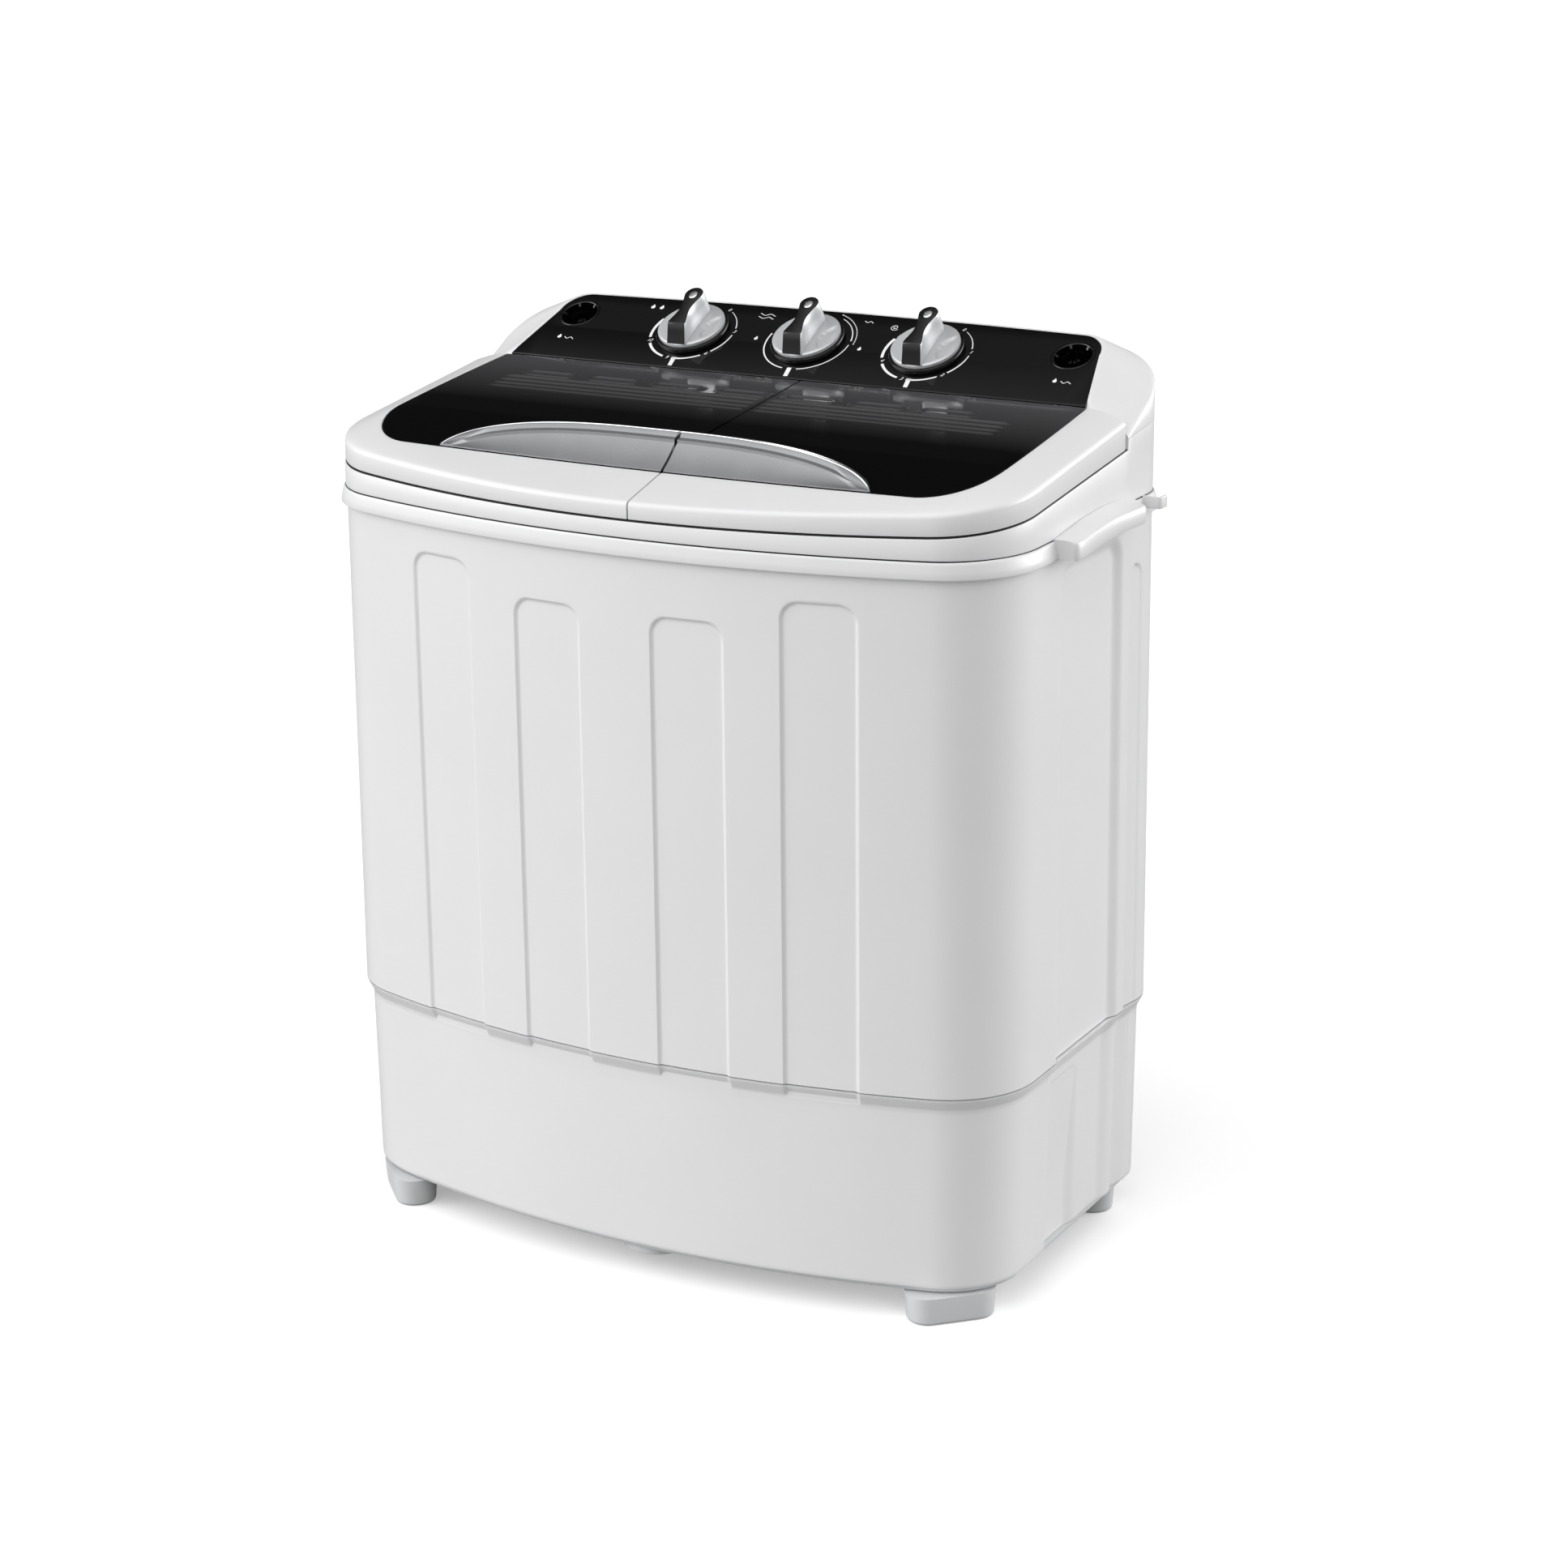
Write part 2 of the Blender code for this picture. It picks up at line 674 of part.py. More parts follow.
def inlet_cutter(name, radius, low, high, side):
    part = cylinder(name, radius, low, high, sides=28)
    return move(part, on_panel(side * INLET_X, INLET_Y), PANEL_TILT)


def build_console():
    console = console_solid("console_shell", mat=plastic("console_shell"))
    cut(console, console_solid("console_hollow", extra=THIN_WALL))
    seat = loft("panel_seat", [panel_plan(-GAP, PANEL_FRONT - 30 * MM, PANEL_THICK + GAP),
                               panel_plan(-GAP, PANEL_FRONT - 30 * MM, -10 * MM)])
    cut(console, seat)
    panel = loft("control_panel", [panel_plan(0, drop=PANEL_THICK), panel_plan()],
                 material("control_panel", BLACK, 0.08))
    for x in DIAL_X:
        for piece in (console, panel):
            hole = cylinder("dial_hole", DIAL_SHAFT + RUNNING, -20 * MM, 10 * MM, sides=16)
            cut(piece, move(hole, on_panel(x, DIAL_Y), PANEL_TILT))
    for side in (-1, 1):
        for piece in (console, panel):
            cut(piece, inlet_cutter("inlet_hole", INLET_RADIUS + GAP, -10 * MM, 10 * MM, side))
    return console, panel


def build_inlets():
    """Cups set in the panel, where the hose is pushed in; each drains through its floor."""
    inlets = []
    for name, side in (("left", -1), ("right", 1)):
        cup = cylinder(f"water_inlet_{name}", INLET_RADIUS, -INLET_DEPTH, 0,
                       mat=material(f"water_inlet_{name}", BLACK, 0.25), sides=28)
        move(cup, on_panel(side * INLET_X, INLET_Y), PANEL_TILT)
        cut(cup, inlet_cutter("cup_hollow", INLET_RADIUS - INLET_WALL, INLET_WALL - INLET_DEPTH, 5 * MM, side))
        cut(cup, inlet_cutter("cup_drain", 5 * MM, -INLET_DEPTH - 5 * MM, 0, side))
        inlets.append(cup)
    return inlets


def waisted_bar(front, back, steps=8):
    """The outline of a dial's grip: a square front end, a waist and a round head at the back."""
    head = DIAL_GRIP_WIDTH / 2
    waist = DIAL_GRIP_WAIST / 2
    points = arc((0, back - head), head, -40, 220, steps)
    points += [(-waist, 0), (-head, front + head), (-head, front), (head, front), (head, front + head), (waist, 0)]
    return points


def build_dial(name, x):
    """A dial on the panel's normal: a black skirt with its shaft, a silver disc and a bar to turn."""
    start = RUNNING
    skirt_top = start + DIAL_SKIRT_HEIGHT
    disc_top = skirt_top + GAP + DIAL_DISC_HEIGHT
    skirt = cylinder(f"{name}_skirt", DIAL_SKIRT, start, skirt_top, mat=material(f"{name}_skirt", BLACK, 0.2))
    shaft = cylinder("shaft", DIAL_SHAFT, -14 * MM, start + 1 * MM, sides=16)
    disc = cylinder(f"{name}_disc", DIAL_DISC, skirt_top + GAP, disc_top, mat=metal(f"{name}_disc", SILVER))
    foot, crown = (waisted_bar(front, back) for front, back in zip(DIAL_GRIP_FRONT, DIAL_GRIP_BACK))
    grip = loft(f"{name}_grip", [at_height(foot, disc_top + GAP),
                                 at_height(crown, lambda y: DIAL_GRIP_TOP + DIAL_GRIP_CLIMB * (y - DIAL_GRIP_FRONT[1]))],
                material(f"{name}_grip", BLACK, 0.15))
    seat = on_panel(x, DIAL_Y)
    for piece in (skirt, shaft, disc, grip):
        move(piece, seat, PANEL_TILT)
    join(skirt, shaft)
    ride(pivot(f"{name}_axis", seat, PANEL_TILT), skirt, disc, grip)


def build_timers():
    """The clockwork timers and the selector's switch, under the panel."""
    sx, sy, height = TIMER_SIZE
    top = -PANEL_THICK - GAP - THIN_WALL - GAP
    for name, x in zip(DIAL_NAMES, DIAL_X):
        body = box(f"{name}_body", (-sx / 2, -sy / 2, top - height), (sx / 2, sy / 2, top),
                   material(f"{name}_body", WHITE, 0.5))
        move(body, on_panel(x, DIAL_Y), PANEL_TILT)
        bore = cylinder("timer_bore", DIAL_SHAFT + RUNNING, -16 * MM, 0, sides=16)
        cut(body, move(bore, on_panel(x, DIAL_Y), PANEL_TILT))


# Lids

def edge_distance(x, y, inset):
    """How far a point lies inside the lid's outline."""
    side, front = inset
    x = abs(x) / spread(y)
    width = HALF_WIDTH - side
    depth = HALF_DEPTH - front
    corner = FRONT_CORNER - side
    bow = BOW_RADIUS - front
    reach = math.sqrt((bow - corner) ** 2 - (width - corner) ** 2)
    corner_y = bow - depth - reach
    if x > width - corner and y < corner_y:
        return corner - math.hypot(x - width + corner, y - corner_y)
    return min(width - x, bow - math.hypot(x, y - bow + depth))


def dome(y):
    """The lids' crown line: a gentle slope, and a steeper one towards the front."""
    return DOME_REAR - DOME_SLOPE * (LID_REAR - y) - DOME_DROP * max(0.0, DOME_KNEE - y)


def lid_top(x, y):
    edge = EDGE_SEAM + EDGE_SLOPE * (y + HALF_DEPTH) + SURROUND_STEP
    return min(dome(y), edge + SURROUND_SLOPE * max(0.0, edge_distance(x, y, LID_INSET)))


def top_block(name, x_low, x_high, front, back, bottom, lift=0.0, mat=None):
    """A block under the lids' top surface, between two x values and two y values."""
    columns = np.linspace(-LID_REACH, LID_REACH, LID_COLUMNS)
    ahead = np.linspace(-HALF_DEPTH - 10 * MM, DOME_KNEE, LID_ROWS)
    rows = [*ahead, *np.linspace(DOME_KNEE, LID_REAR + 30 * MM, LID_ROWS)[1:]]
    rings = []
    for y in rows:
        crown = [Vector((x, y, lid_top(x, y) + lift)) for x in columns]
        base = [Vector((x, y, bottom(x, y))) for x in reversed(columns)]
        rings.append(crown + base)
    block = loft(name, rings, mat, triangles=True)
    return keep_inside(block, box("lid_slice", (x_low, front, 500 * MM), (x_high, back, 720 * MM)))


def lid_floor(x, y):
    return deck_top(y) + LID_GAP


def lid_outline_block(extra=0.0):
    return loft("lid_outline", [ring(LID_INSET, 560 * MM, extra), ring(LID_INSET, 680 * MM, extra)])


def window_prism(extra):
    half = WINDOW_HALF - extra
    back = 140 * MM
    front = WINDOW_FRONT + extra
    return rounded_prism("window_outline", (0, (front + back) / 2), (half, (back - front) / 2),
                         WINDOW_CORNER - extra, 560 * MM, 680 * MM)


HINGE_Z = dome(HINGE_Y) - HINGE_DROP


def crosswise_rod(name, radius, low, high, mat=None):
    """A rod along X on the hinge axis."""
    rod = cylinder(name, radius, low, high, mat=mat, sides=20)
    rod.data.transform(Matrix.Rotation(math.pi / 2, 4, "Y"))
    rod.data.transform(Matrix.Translation((0, HINGE_Y, HINGE_Z)))
    return rod


def lug_places(low, high):
    """Where a lid's two hinge lugs stand, counted from the ends of its rod."""
    return (low + LUG_INSET, high - LUG_INSET)


def build_lid_frame(name, x_low, x_high, rod_low, rod_high):
    """The white surround: a shell under the top surface, with a rail at the rear for the hinge rod."""
    wall = THIN_WALL
    frame = top_block(f"{name}_frame", x_low, x_high, -180 * MM, LID_REAR, lid_floor, mat=plastic(f"{name}_frame"))
    keep_inside(frame, lid_outline_block())
    inside_low = x_low + wall if x_low > 0 else x_low
    inside_high = x_high - wall if x_high < 100 * MM else x_high
    hollow = top_block("lid_hollow", inside_low, inside_high, -180 * MM, LID_REAR + 20 * MM,
                       lambda x, y: lid_floor(x, y) - 20 * MM, lift=-wall)
    keep_inside(hollow, lid_outline_block(wall))
    cut(frame, hollow)
    window_gap = top_block("window_gap", x_low - 5 * MM, x_high + 5 * MM, -180 * MM, LID_REAR + 20 * MM,
                           lambda x, y: lid_top(x, y) - WINDOW_THICK - 4 * GAP, lift=10 * MM)
    keep_inside(window_gap, window_prism(0.0))
    cut(frame, window_gap)
    rail = top_block("rail", max(x_low, -RAIL_END), min(x_high, RAIL_END), HINGE_Y + RAIL_HALF - RAIL_DEPTH,
                     HINGE_Y + RAIL_HALF, lambda x, y: min(HINGE_Z - RAIL_HALF, lid_top(x, y) - 2 * RAIL_HALF),
                     lift=-WINDOW_THICK - 3 * GAP)
    join(frame, rail)
    for x in lug_places(rod_low, rod_high):
        half = LUG_WIDTH / 2 + RUNNING
        cut(frame, box("lug_gap", (x - half, HINGE_Y - LUG_CLEAR, HINGE_Z - 20 * MM),
                       (x + half, HINGE_Y + 20 * MM, HINGE_Z + HINGE_DROP - WINDOW_THICK - GAP)))
    cut(frame, crosswise_rod("rod_bore", ROD_RADIUS + GAP, rod_low - GAP, rod_high + GAP))
    return frame


def build_window(name, x_low, x_high):
    window = top_block(f"{name}_window", x_low, x_high, -170 * MM, LID_REAR - WINDOW_BACK_GAP,
                       lambda x, y: lid_top(x, y) - WINDOW_THICK, mat=material(f"{name}_window", BLACK, 0.05))
    return keep_inside(window, window_prism(GAP))


def grip_section(x):
    """The silver pull's outline at one x: a ramp up to a lip, whose rear edge overhangs a finger slot."""
    share = max(0.08, 1 - (x / GRIP_HALF) ** 2)
    lip_y = GRIP_FRONT + GRIP_REACH * share ** 0.6
    rise = GRIP_RISE * share ** 0.7
    lip = min(GRIP_LIP, 0.4 * rise)
    slot_y = lip_y - GRIP_UNDERCUT * share
    rows = np.linspace(GRIP_FRONT, lip_y, 5)
    lifts = np.linspace(GRIP_EDGE, rise, 5)
    points = [*zip(rows, lifts), (lip_y, rise - lip), (slot_y, rise - lip), (slot_y, 2 * GAP), (GRIP_FRONT, 2 * GAP)]
    return [Vector((x, y, lid_top(x, y) + lift)) for y, lift in points]


def build_lid_grip(name, x_low, x_high):
    """The silver pull: half of a crescent that rises from the window."""
    rings = [grip_section(x) for x in np.linspace(x_low, x_high, 13)]
    return loft(f"{name}_grip", rings, metal(f"{name}_grip", SILVER))


def build_hinge_bracket(name, rod_low, rod_high):
    """Two lugs on a strip, screwed to the deck, that hold a lid's rod."""
    low, high = lug_places(rod_low, rod_high)
    base_z = deck_top(CONSOLE_FRONT) + GAP
    bracket = box(f"{name}_hinge_bracket", (low - 12 * MM, HINGE_Y - 7 * MM, base_z),
                  (high + 12 * MM, CONSOLE_FRONT - 1 * MM, base_z + 3 * MM), metal(f"{name}_hinge_bracket"))
    for x in (low, high):
        post = box("post", (x - LUG_WIDTH / 2, HINGE_Y - LUG_RADIUS, base_z + 1 * MM),
                   (x + LUG_WIDTH / 2, HINGE_Y + 1 * MM, HINGE_Z))
        eye = crosswise_rod("eye", LUG_RADIUS, x - LUG_WIDTH / 2 + 0.05 * MM, x + LUG_WIDTH / 2 - 0.05 * MM)
        join(bracket, post, eye)
        cut(bracket, crosswise_rod("eye_bore", ROD_RADIUS + GAP, x - LUG_WIDTH, x + LUG_WIDTH))
    return bracket


def build_lid(name, x_low, x_high, rod_low, rod_high):
    frame = build_lid_frame(name, x_low, x_high, rod_low, rod_high)
    window = build_window(name, x_low, x_high)
    grip = build_lid_grip(name, max(x_low, -GRIP_END), min(x_high, GRIP_END))
    rod = crosswise_rod(f"{name}_hinge_rod", ROD_RADIUS, rod_low, rod_high, metal(f"{name}_hinge_rod"))
    build_hinge_bracket(name, rod_low, rod_high)
    ride(pivot(f"{name}_hinge", (0, HINGE_Y, HINGE_Z)), frame, window, grip, rod)


# Tubs and drive

def circle(centre, radius, steps=32):
    return arc(centre, radius, 0, 360, steps)[:-1]


def vessel(name, plan, bottom, top, wall, mat, flange=0.0, lip=0.0):
    """An open tub: `plan` gives its outline at an inset; the rim turns out by `flange` or in by `lip`."""
    under = top - TUB_FLANGE_THICK
    levels = [(FLOOR_ROUND, bottom), (FLOOR_ROUND * 0.3, bottom + FLOOR_ROUND * 0.3), (0, bottom + FLOOR_ROUND)]
    inner = [(inset + wall, height + wall * (1 if inset else 0.6)) for inset, height in levels]
    if flange:
        levels += [(0, under), (-flange, under), (-flange, top), (wall, top)]
    else:
        levels += [(0, top), (wall + lip, top), (wall + lip, under), (wall, under)]
    rings = [at_height(plan(inset), height) for inset, height in levels + inner[::-1]]
    return loft(name, rings, mat)


def build_wash_tub():
    def plan(inset):
        half = (WASH_HALF[0] - TUB_FLANGE - inset, WASH_HALF[1] - TUB_FLANGE - inset)
        return rounded_rect(WASH_CENTRE, half, WASH_CORNER - inset)

    tub = vessel("wash_tub", plan, TUB_BOTTOM, RIM_TOP, THIN_WALL, plastic("wash_tub", (0.8, 0.86, 0.9)),
                 flange=TUB_FLANGE)
    cut(tub, cylinder("shaft_hole", SHAFT_RADIUS + RUNNING, TUB_BOTTOM - 10 * MM, TUB_BOTTOM + 20 * MM, WASH_CENTRE))
    cut(tub, cylinder("drain_hole", PLUNGER_RADIUS + 1 * MM, TUB_BOTTOM - 10 * MM, TUB_BOTTOM + 20 * MM, VALVE_CENTRE))
    filter_x = WASH_CENTRE[0] + WASH_HALF[0] - TUB_FLANGE - THIN_WALL - GAP
    box("lint_filter", (filter_x - 9 * MM, -45 * MM, 330 * MM), (filter_x, 25 * MM, 470 * MM),
        material("lint_filter", (0.45, 0.6, 0.75), 0.8))


def build_pulsator():
    """The ribbed disc on the tub's floor; its shaft runs down through the bearing to the pulley."""
    floor = TUB_BOTTOM + THIN_WALL + 2 * MM
    top = floor + PULSATOR_HEIGHT
    profile = [(0, floor), (PULSATOR_RADIUS, floor), (PULSATOR_RADIUS, floor + 4 * MM),
               (PULSATOR_RADIUS * 0.8, top - 3 * MM), (26 * MM, top), (18 * MM, top + 14 * MM), (0, top + 16 * MM)]
    disc = turned("pulsator", profile, plastic("pulsator", (0.75, 0.82, 0.88)))
    for i in range(PULSATOR_RIBS):
        rib = box("rib", (12 * MM, -5 * MM, floor + 3 * MM), (PULSATOR_RADIUS - 8 * MM, 5 * MM, top + 9 * MM))
        rib.rotation_euler = (0, 0, math.tau * i / PULSATOR_RIBS)
        rib.location = (*WASH_CENTRE, 0)
        disc.location = (*WASH_CENTRE, 0)
        join(disc, rib)
    pulley = cylinder("driven_pulley", DRIVEN_PULLEY, PULLEY_BOTTOM, PULLEY_BOTTOM + PULLEY_HEIGHT, WASH_CENTRE,
                      metal("driven_pulley"), sides=40)
    join(pulley, cylinder("wash_shaft", SHAFT_RADIUS, PULLEY_BOTTOM + 1 * MM, floor - GAP, WASH_CENTRE, sides=20))
    ride(pivot("pulsator_axis", (*WASH_CENTRE, 0)), disc, pulley)

    low = TUB_BOTTOM - GAP - BEARING_HEIGHT
    bearing = cylinder("bearing_housing", BEARING_RADIUS, low, TUB_BOTTOM - GAP, WASH_CENTRE,
                       metal("bearing_housing", GREY))
    cut(bearing, cylinder("bearing_bore", SHAFT_RADIUS + RUNNING, low - 5 * MM, TUB_BOTTOM + 5 * MM, WASH_CENTRE,
                          sides=20))


def belt_points(radius_a, radius_b, steps=16):
    """The outline of a belt around both pulleys."""
    ax, ay = WASH_CENTRE
    bx, by = WASH_MOTOR
    span = math.hypot(bx - ax, by - ay)
    heading = math.degrees(math.atan2(by - ay, bx - ax))
    wrap = math.degrees(math.acos((radius_a - radius_b) / span))
    points = arc((ax, ay), radius_a, heading + wrap, heading + 360 - wrap, steps)
    return points + arc((bx, by), radius_b, heading - wrap, heading + wrap, steps)


def build_wash_drive():
    low = PULLEY_BOTTOM + (PULLEY_HEIGHT - BELT_HEIGHT) / 2
    high = low + BELT_HEIGHT
    inner = belt_points(DRIVEN_PULLEY + RUNNING, MOTOR_PULLEY + RUNNING)
    outer = belt_points(DRIVEN_PULLEY + RUNNING + BELT_THICK, MOTOR_PULLEY + RUNNING + BELT_THICK)
    loft("drive_belt", [at_height(outer, low), at_height(outer, high), at_height(inner, high),
                        at_height(inner, low)], material("drive_belt", RUBBER, 0.8), closed=True)
    motor = cylinder("wash_motor", WASH_MOTOR_RADIUS, MOTOR_BOTTOM, WASH_MOTOR_TOP, WASH_MOTOR, metal("wash_motor"))
    cut(motor, cylinder("motor_bore", SHAFT_RADIUS - 1 * MM, WASH_MOTOR_TOP - 20 * MM, WASH_MOTOR_TOP + 5 * MM,
                        WASH_MOTOR, sides=20))
    pulley = cylinder("motor_pulley", MOTOR_PULLEY, PULLEY_BOTTOM, PULLEY_BOTTOM + PULLEY_HEIGHT, WASH_MOTOR,
                      metal("motor_pulley"))
    join(pulley, cylinder("motor_shaft", SHAFT_RADIUS - 1 * MM - RUNNING, WASH_MOTOR_TOP - 15 * MM,
                          PULLEY_BOTTOM + 1 * MM, WASH_MOTOR, sides=20))
    ride(pivot("motor_pulley_axis", (*WASH_MOTOR, 0)), pulley)


def build_spin():
    def tub_plan(inset):
        return circle(SPIN_CENTRE, SPIN_TUB_RADIUS - TUB_FLANGE - inset, 40)

    def basket_plan(inset):
        return circle(SPIN_CENTRE, BASKET_RADIUS - inset, 32)

    tub = vessel("spin_outer_tub", tub_plan, TUB_BOTTOM, RIM_TOP, THIN_WALL,
                 plastic("spin_outer_tub", (0.8, 0.86, 0.9)), flange=TUB_FLANGE)
    cut(tub, cylinder("seal_hole", SHAFT_RADIUS + RUNNING, TUB_BOTTOM - 10 * MM, TUB_BOTTOM + 20 * MM, SPIN_CENTRE,
                      sides=20))
    basket = vessel("spin_basket", basket_plan, BASKET_BOTTOM, BASKET_TOP, 2 * MM, plastic("spin_basket", (0.8, 0.86, 0.9)),
                    lip=BASKET_RADIUS - 2 * MM - BASKET_MOUTH)
    for row in range(DRAIN_ROWS):
        for i in range(DRAIN_HOLES):
            hole = cylinder("drain_slot", DRAIN_HOLE, -BASKET_RADIUS - 10 * MM, BASKET_RADIUS + 10 * MM, sides=6)
            hole.rotation_euler = (math.pi / 2, 0, math.pi * (i + 0.27 + 0.4 * row) / DRAIN_HOLES)
            hole.location = (*SPIN_CENTRE, BASKET_BOTTOM + DRAIN_FIRST + row * DRAIN_PITCH)
            cut(basket, hole)
    drum_top = BRAKE_BOTTOM + BRAKE_HEIGHT
    shaft = cylinder("spin_shaft", SHAFT_RADIUS, SPIN_MOTOR_TOP - 20 * MM, BASKET_BOTTOM - GAP, SPIN_CENTRE,
                     metal("spin_shaft"), sides=20)
    join(shaft, cylinder("brake_drum", BRAKE_DRUM, BRAKE_BOTTOM, drum_top, SPIN_CENTRE, sides=32))
    ride(pivot("spin_axis", (*SPIN_CENTRE, 0)), basket, shaft)

    motor = cylinder("spin_motor", SPIN_MOTOR_RADIUS, MOTOR_BOTTOM, SPIN_MOTOR_TOP, SPIN_CENTRE, metal("spin_motor"))
    cut(motor, cylinder("spin_bore", SHAFT_RADIUS + RUNNING, SPIN_MOTOR_TOP - 25 * MM, SPIN_MOTOR_TOP + 5 * MM,
                        SPIN_CENTRE, sides=20))


def build_brake():
    """The arm that is pulled by the spin lid and lets its shoe touch the drum when the lid is raised."""
    cx, cy = SPIN_CENTRE
    px, py = BRAKE_PIVOT
    reach = math.hypot(px - cx, py - cy)
    heading = math.atan2(cy - py, cx - px)
    low = BRAKE_BOTTOM + 4 * MM
    arm = box("brake_arm", (-8 * MM, -5 * MM, low), (reach * 0.2, 5 * MM, low + 14 * MM), metal("brake_arm", GREY))
    shoe = box("brake_shoe", (reach - BRAKE_DRUM - BRAKE_GAP - 8 * MM, -14 * MM, low),
               (reach - BRAKE_DRUM - BRAKE_GAP, 6 * MM, low + 14 * MM))
    link = box("brake_link", (0, -5 * MM, low), (reach - BRAKE_DRUM - BRAKE_GAP - 4 * MM, 5 * MM, low + 14 * MM))
    hole = cylinder("pivot_hole", 3.3 * MM, low - 5 * MM, low + 25 * MM, sides=16)
    for piece in (arm, shoe, link, hole):
        piece.location = (px, py, 0)
        piece.rotation_euler = (0, 0, heading)
    join(arm, shoe, link)
    cut(arm, hole)
    ride(pivot("brake_pivot", (px, py, 0)), arm)
    stand = cylinder("brake_post", 3 * MM, SKIRT_BOTTOM + GAP, low + 18 * MM, BRAKE_PIVOT, metal("brake_post"),
                     sides=16)
    return stand


def build_drain():
    low = TUB_BOTTOM - GAP - VALVE_HEIGHT
    cup = cylinder("drain_valve_box", VALVE_RADIUS, low, TUB_BOTTOM - GAP, VALVE_CENTRE,
                   plastic("drain_valve_box", GREY))
    cut(cup, cylinder("valve_hollow", VALVE_RADIUS - THIN_WALL, low + THIN_WALL, TUB_BOTTOM + 5 * MM, VALVE_CENTRE))
    seat = low + THIN_WALL + GAP
    plunger = cylinder("drain_plunger", PLUNGER_RADIUS, seat, seat + PLUNGER_HEIGHT, VALVE_CENTRE,
                       material("drain_plunger", RUBBER, 0.8))
    ride(pivot("plunger_axis", (*VALVE_CENTRE, seat)), plunger)

    outlet = cylinder("drain_outlet", OUTLET_RADIUS, -REAR_REACH, -REAR_REACH + 34 * MM,
                      mat=plastic("drain_outlet", GREY), sides=28)
    bore = cylinder("outlet_bore", OUTLET_BORE, -REAR_REACH - 5 * MM, -REAR_REACH + 50 * MM, sides=28)
    for piece in (outlet, bore):
        move(piece, (OUTLET[0], 0, OUTLET[1]), math.pi / 2)
    cut(outlet, bore)
    gland = cylinder("cord_gland", GLAND_RADIUS, -REAR_REACH, -REAR_REACH + 22 * MM,
                     mat=material("cord_gland", RUBBER, 0.7), sides=20)
    move(gland, (GLAND[0], 0, GLAND[1]), math.pi / 2)


def main():
    build_case()
    build_rear_cover()
    build_base()
    build_feet()
    build_rim()
    build_handle("right")
    build_handle("left")
    build_hook()
    build_deck()
    build_console()
    build_inlets()
    for name, x in zip(DIAL_NAMES, DIAL_X):
        build_dial(name, x)
    build_timers()
    half_gap = SPLIT_GAP / 2
    rod_margin = 12 * MM
    rod_end = 244 * MM
    build_lid("wash_lid", -LID_REACH, SPLIT_X - half_gap, -rod_end, SPLIT_X - half_gap - rod_margin)
    build_lid("spin_lid", SPLIT_X + half_gap, LID_REACH, SPLIT_X + half_gap + rod_margin, rod_end)
    build_wash_tub()
    build_pulsator()
    build_wash_drive()
    build_spin()
    build_brake()
    build_drain()


main()
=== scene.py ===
# %% [markdown]
# # A twin tub washer
# The machine has a wash tub on the left and a spin dryer on the right, in one white plastic case. Two lids with
# smoked windows swing up in front of a sloping black console with three dials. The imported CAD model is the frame:
# it says where everything is, and each cell below gives one piece of it its real shape and finish.

# %% Load the frame
import math

import bmesh
import bpy
import numpy as np
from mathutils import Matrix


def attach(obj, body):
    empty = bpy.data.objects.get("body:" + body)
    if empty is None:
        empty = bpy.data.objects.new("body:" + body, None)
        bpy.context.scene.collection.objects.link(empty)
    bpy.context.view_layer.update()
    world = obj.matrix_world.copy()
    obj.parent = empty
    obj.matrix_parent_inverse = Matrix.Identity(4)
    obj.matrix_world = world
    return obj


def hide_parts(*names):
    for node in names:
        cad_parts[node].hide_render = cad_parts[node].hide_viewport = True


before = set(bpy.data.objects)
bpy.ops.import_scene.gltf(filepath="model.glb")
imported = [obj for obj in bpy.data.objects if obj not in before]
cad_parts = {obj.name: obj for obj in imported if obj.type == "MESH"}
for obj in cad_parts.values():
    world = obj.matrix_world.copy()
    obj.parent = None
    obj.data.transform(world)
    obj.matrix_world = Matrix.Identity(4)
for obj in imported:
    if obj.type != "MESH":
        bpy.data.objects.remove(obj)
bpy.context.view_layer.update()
scene = bpy.context.scene
scene.view_settings.view_transform = "Standard"

# %% [markdown]
# ## Camera
# A long lens from the front right, a little above the lids, shows the front, one side and the whole top. The camera
# is built from its own three axes, because a heading, a height angle and a small roll are easier to read than a
# rotation. It comes first, so that every later piece can be looked at from it.

# %% Camera
CAMERA_TARGET = np.array([-0.0039, 0.0663, 0.3245])
CAMERA_DISTANCE = 2.731
HEADING, HEIGHT_ANGLE, ROLL = np.radians([29.295, 17.174, -0.526])

away = np.array([math.sin(HEADING) * math.cos(HEIGHT_ANGLE), -math.cos(HEADING) * math.cos(HEIGHT_ANGLE),
                 math.sin(HEIGHT_ANGLE)])
level_right = np.array([math.cos(HEADING), math.sin(HEADING), 0.0])
level_up = np.cross(away, level_right)
right = math.cos(ROLL) * level_right + math.sin(ROLL) * level_up
up = math.cos(ROLL) * level_up - math.sin(ROLL) * level_right
stand = np.eye(4)
stand[:3, 0], stand[:3, 1], stand[:3, 2] = right, up, away
stand[:3, 3] = CAMERA_TARGET + CAMERA_DISTANCE * away

lens = bpy.data.cameras.new("camera")
lens.lens = 80.35
lens.sensor_width = 36
camera = bpy.data.objects.new("camera", lens)
scene.collection.objects.link(camera)
camera.matrix_world = stand.T.tolist()
scene.camera = camera
print("camera stands at", np.round(stand[:3, 3], 3))

# %% [markdown]
# ## Colours and nodes
# A colour is easiest to pick as a hex value from a chart, but shaders add light, so each value is turned linear
# first. One small function adds a node, sets it and links it; a constant goes straight into a socket.

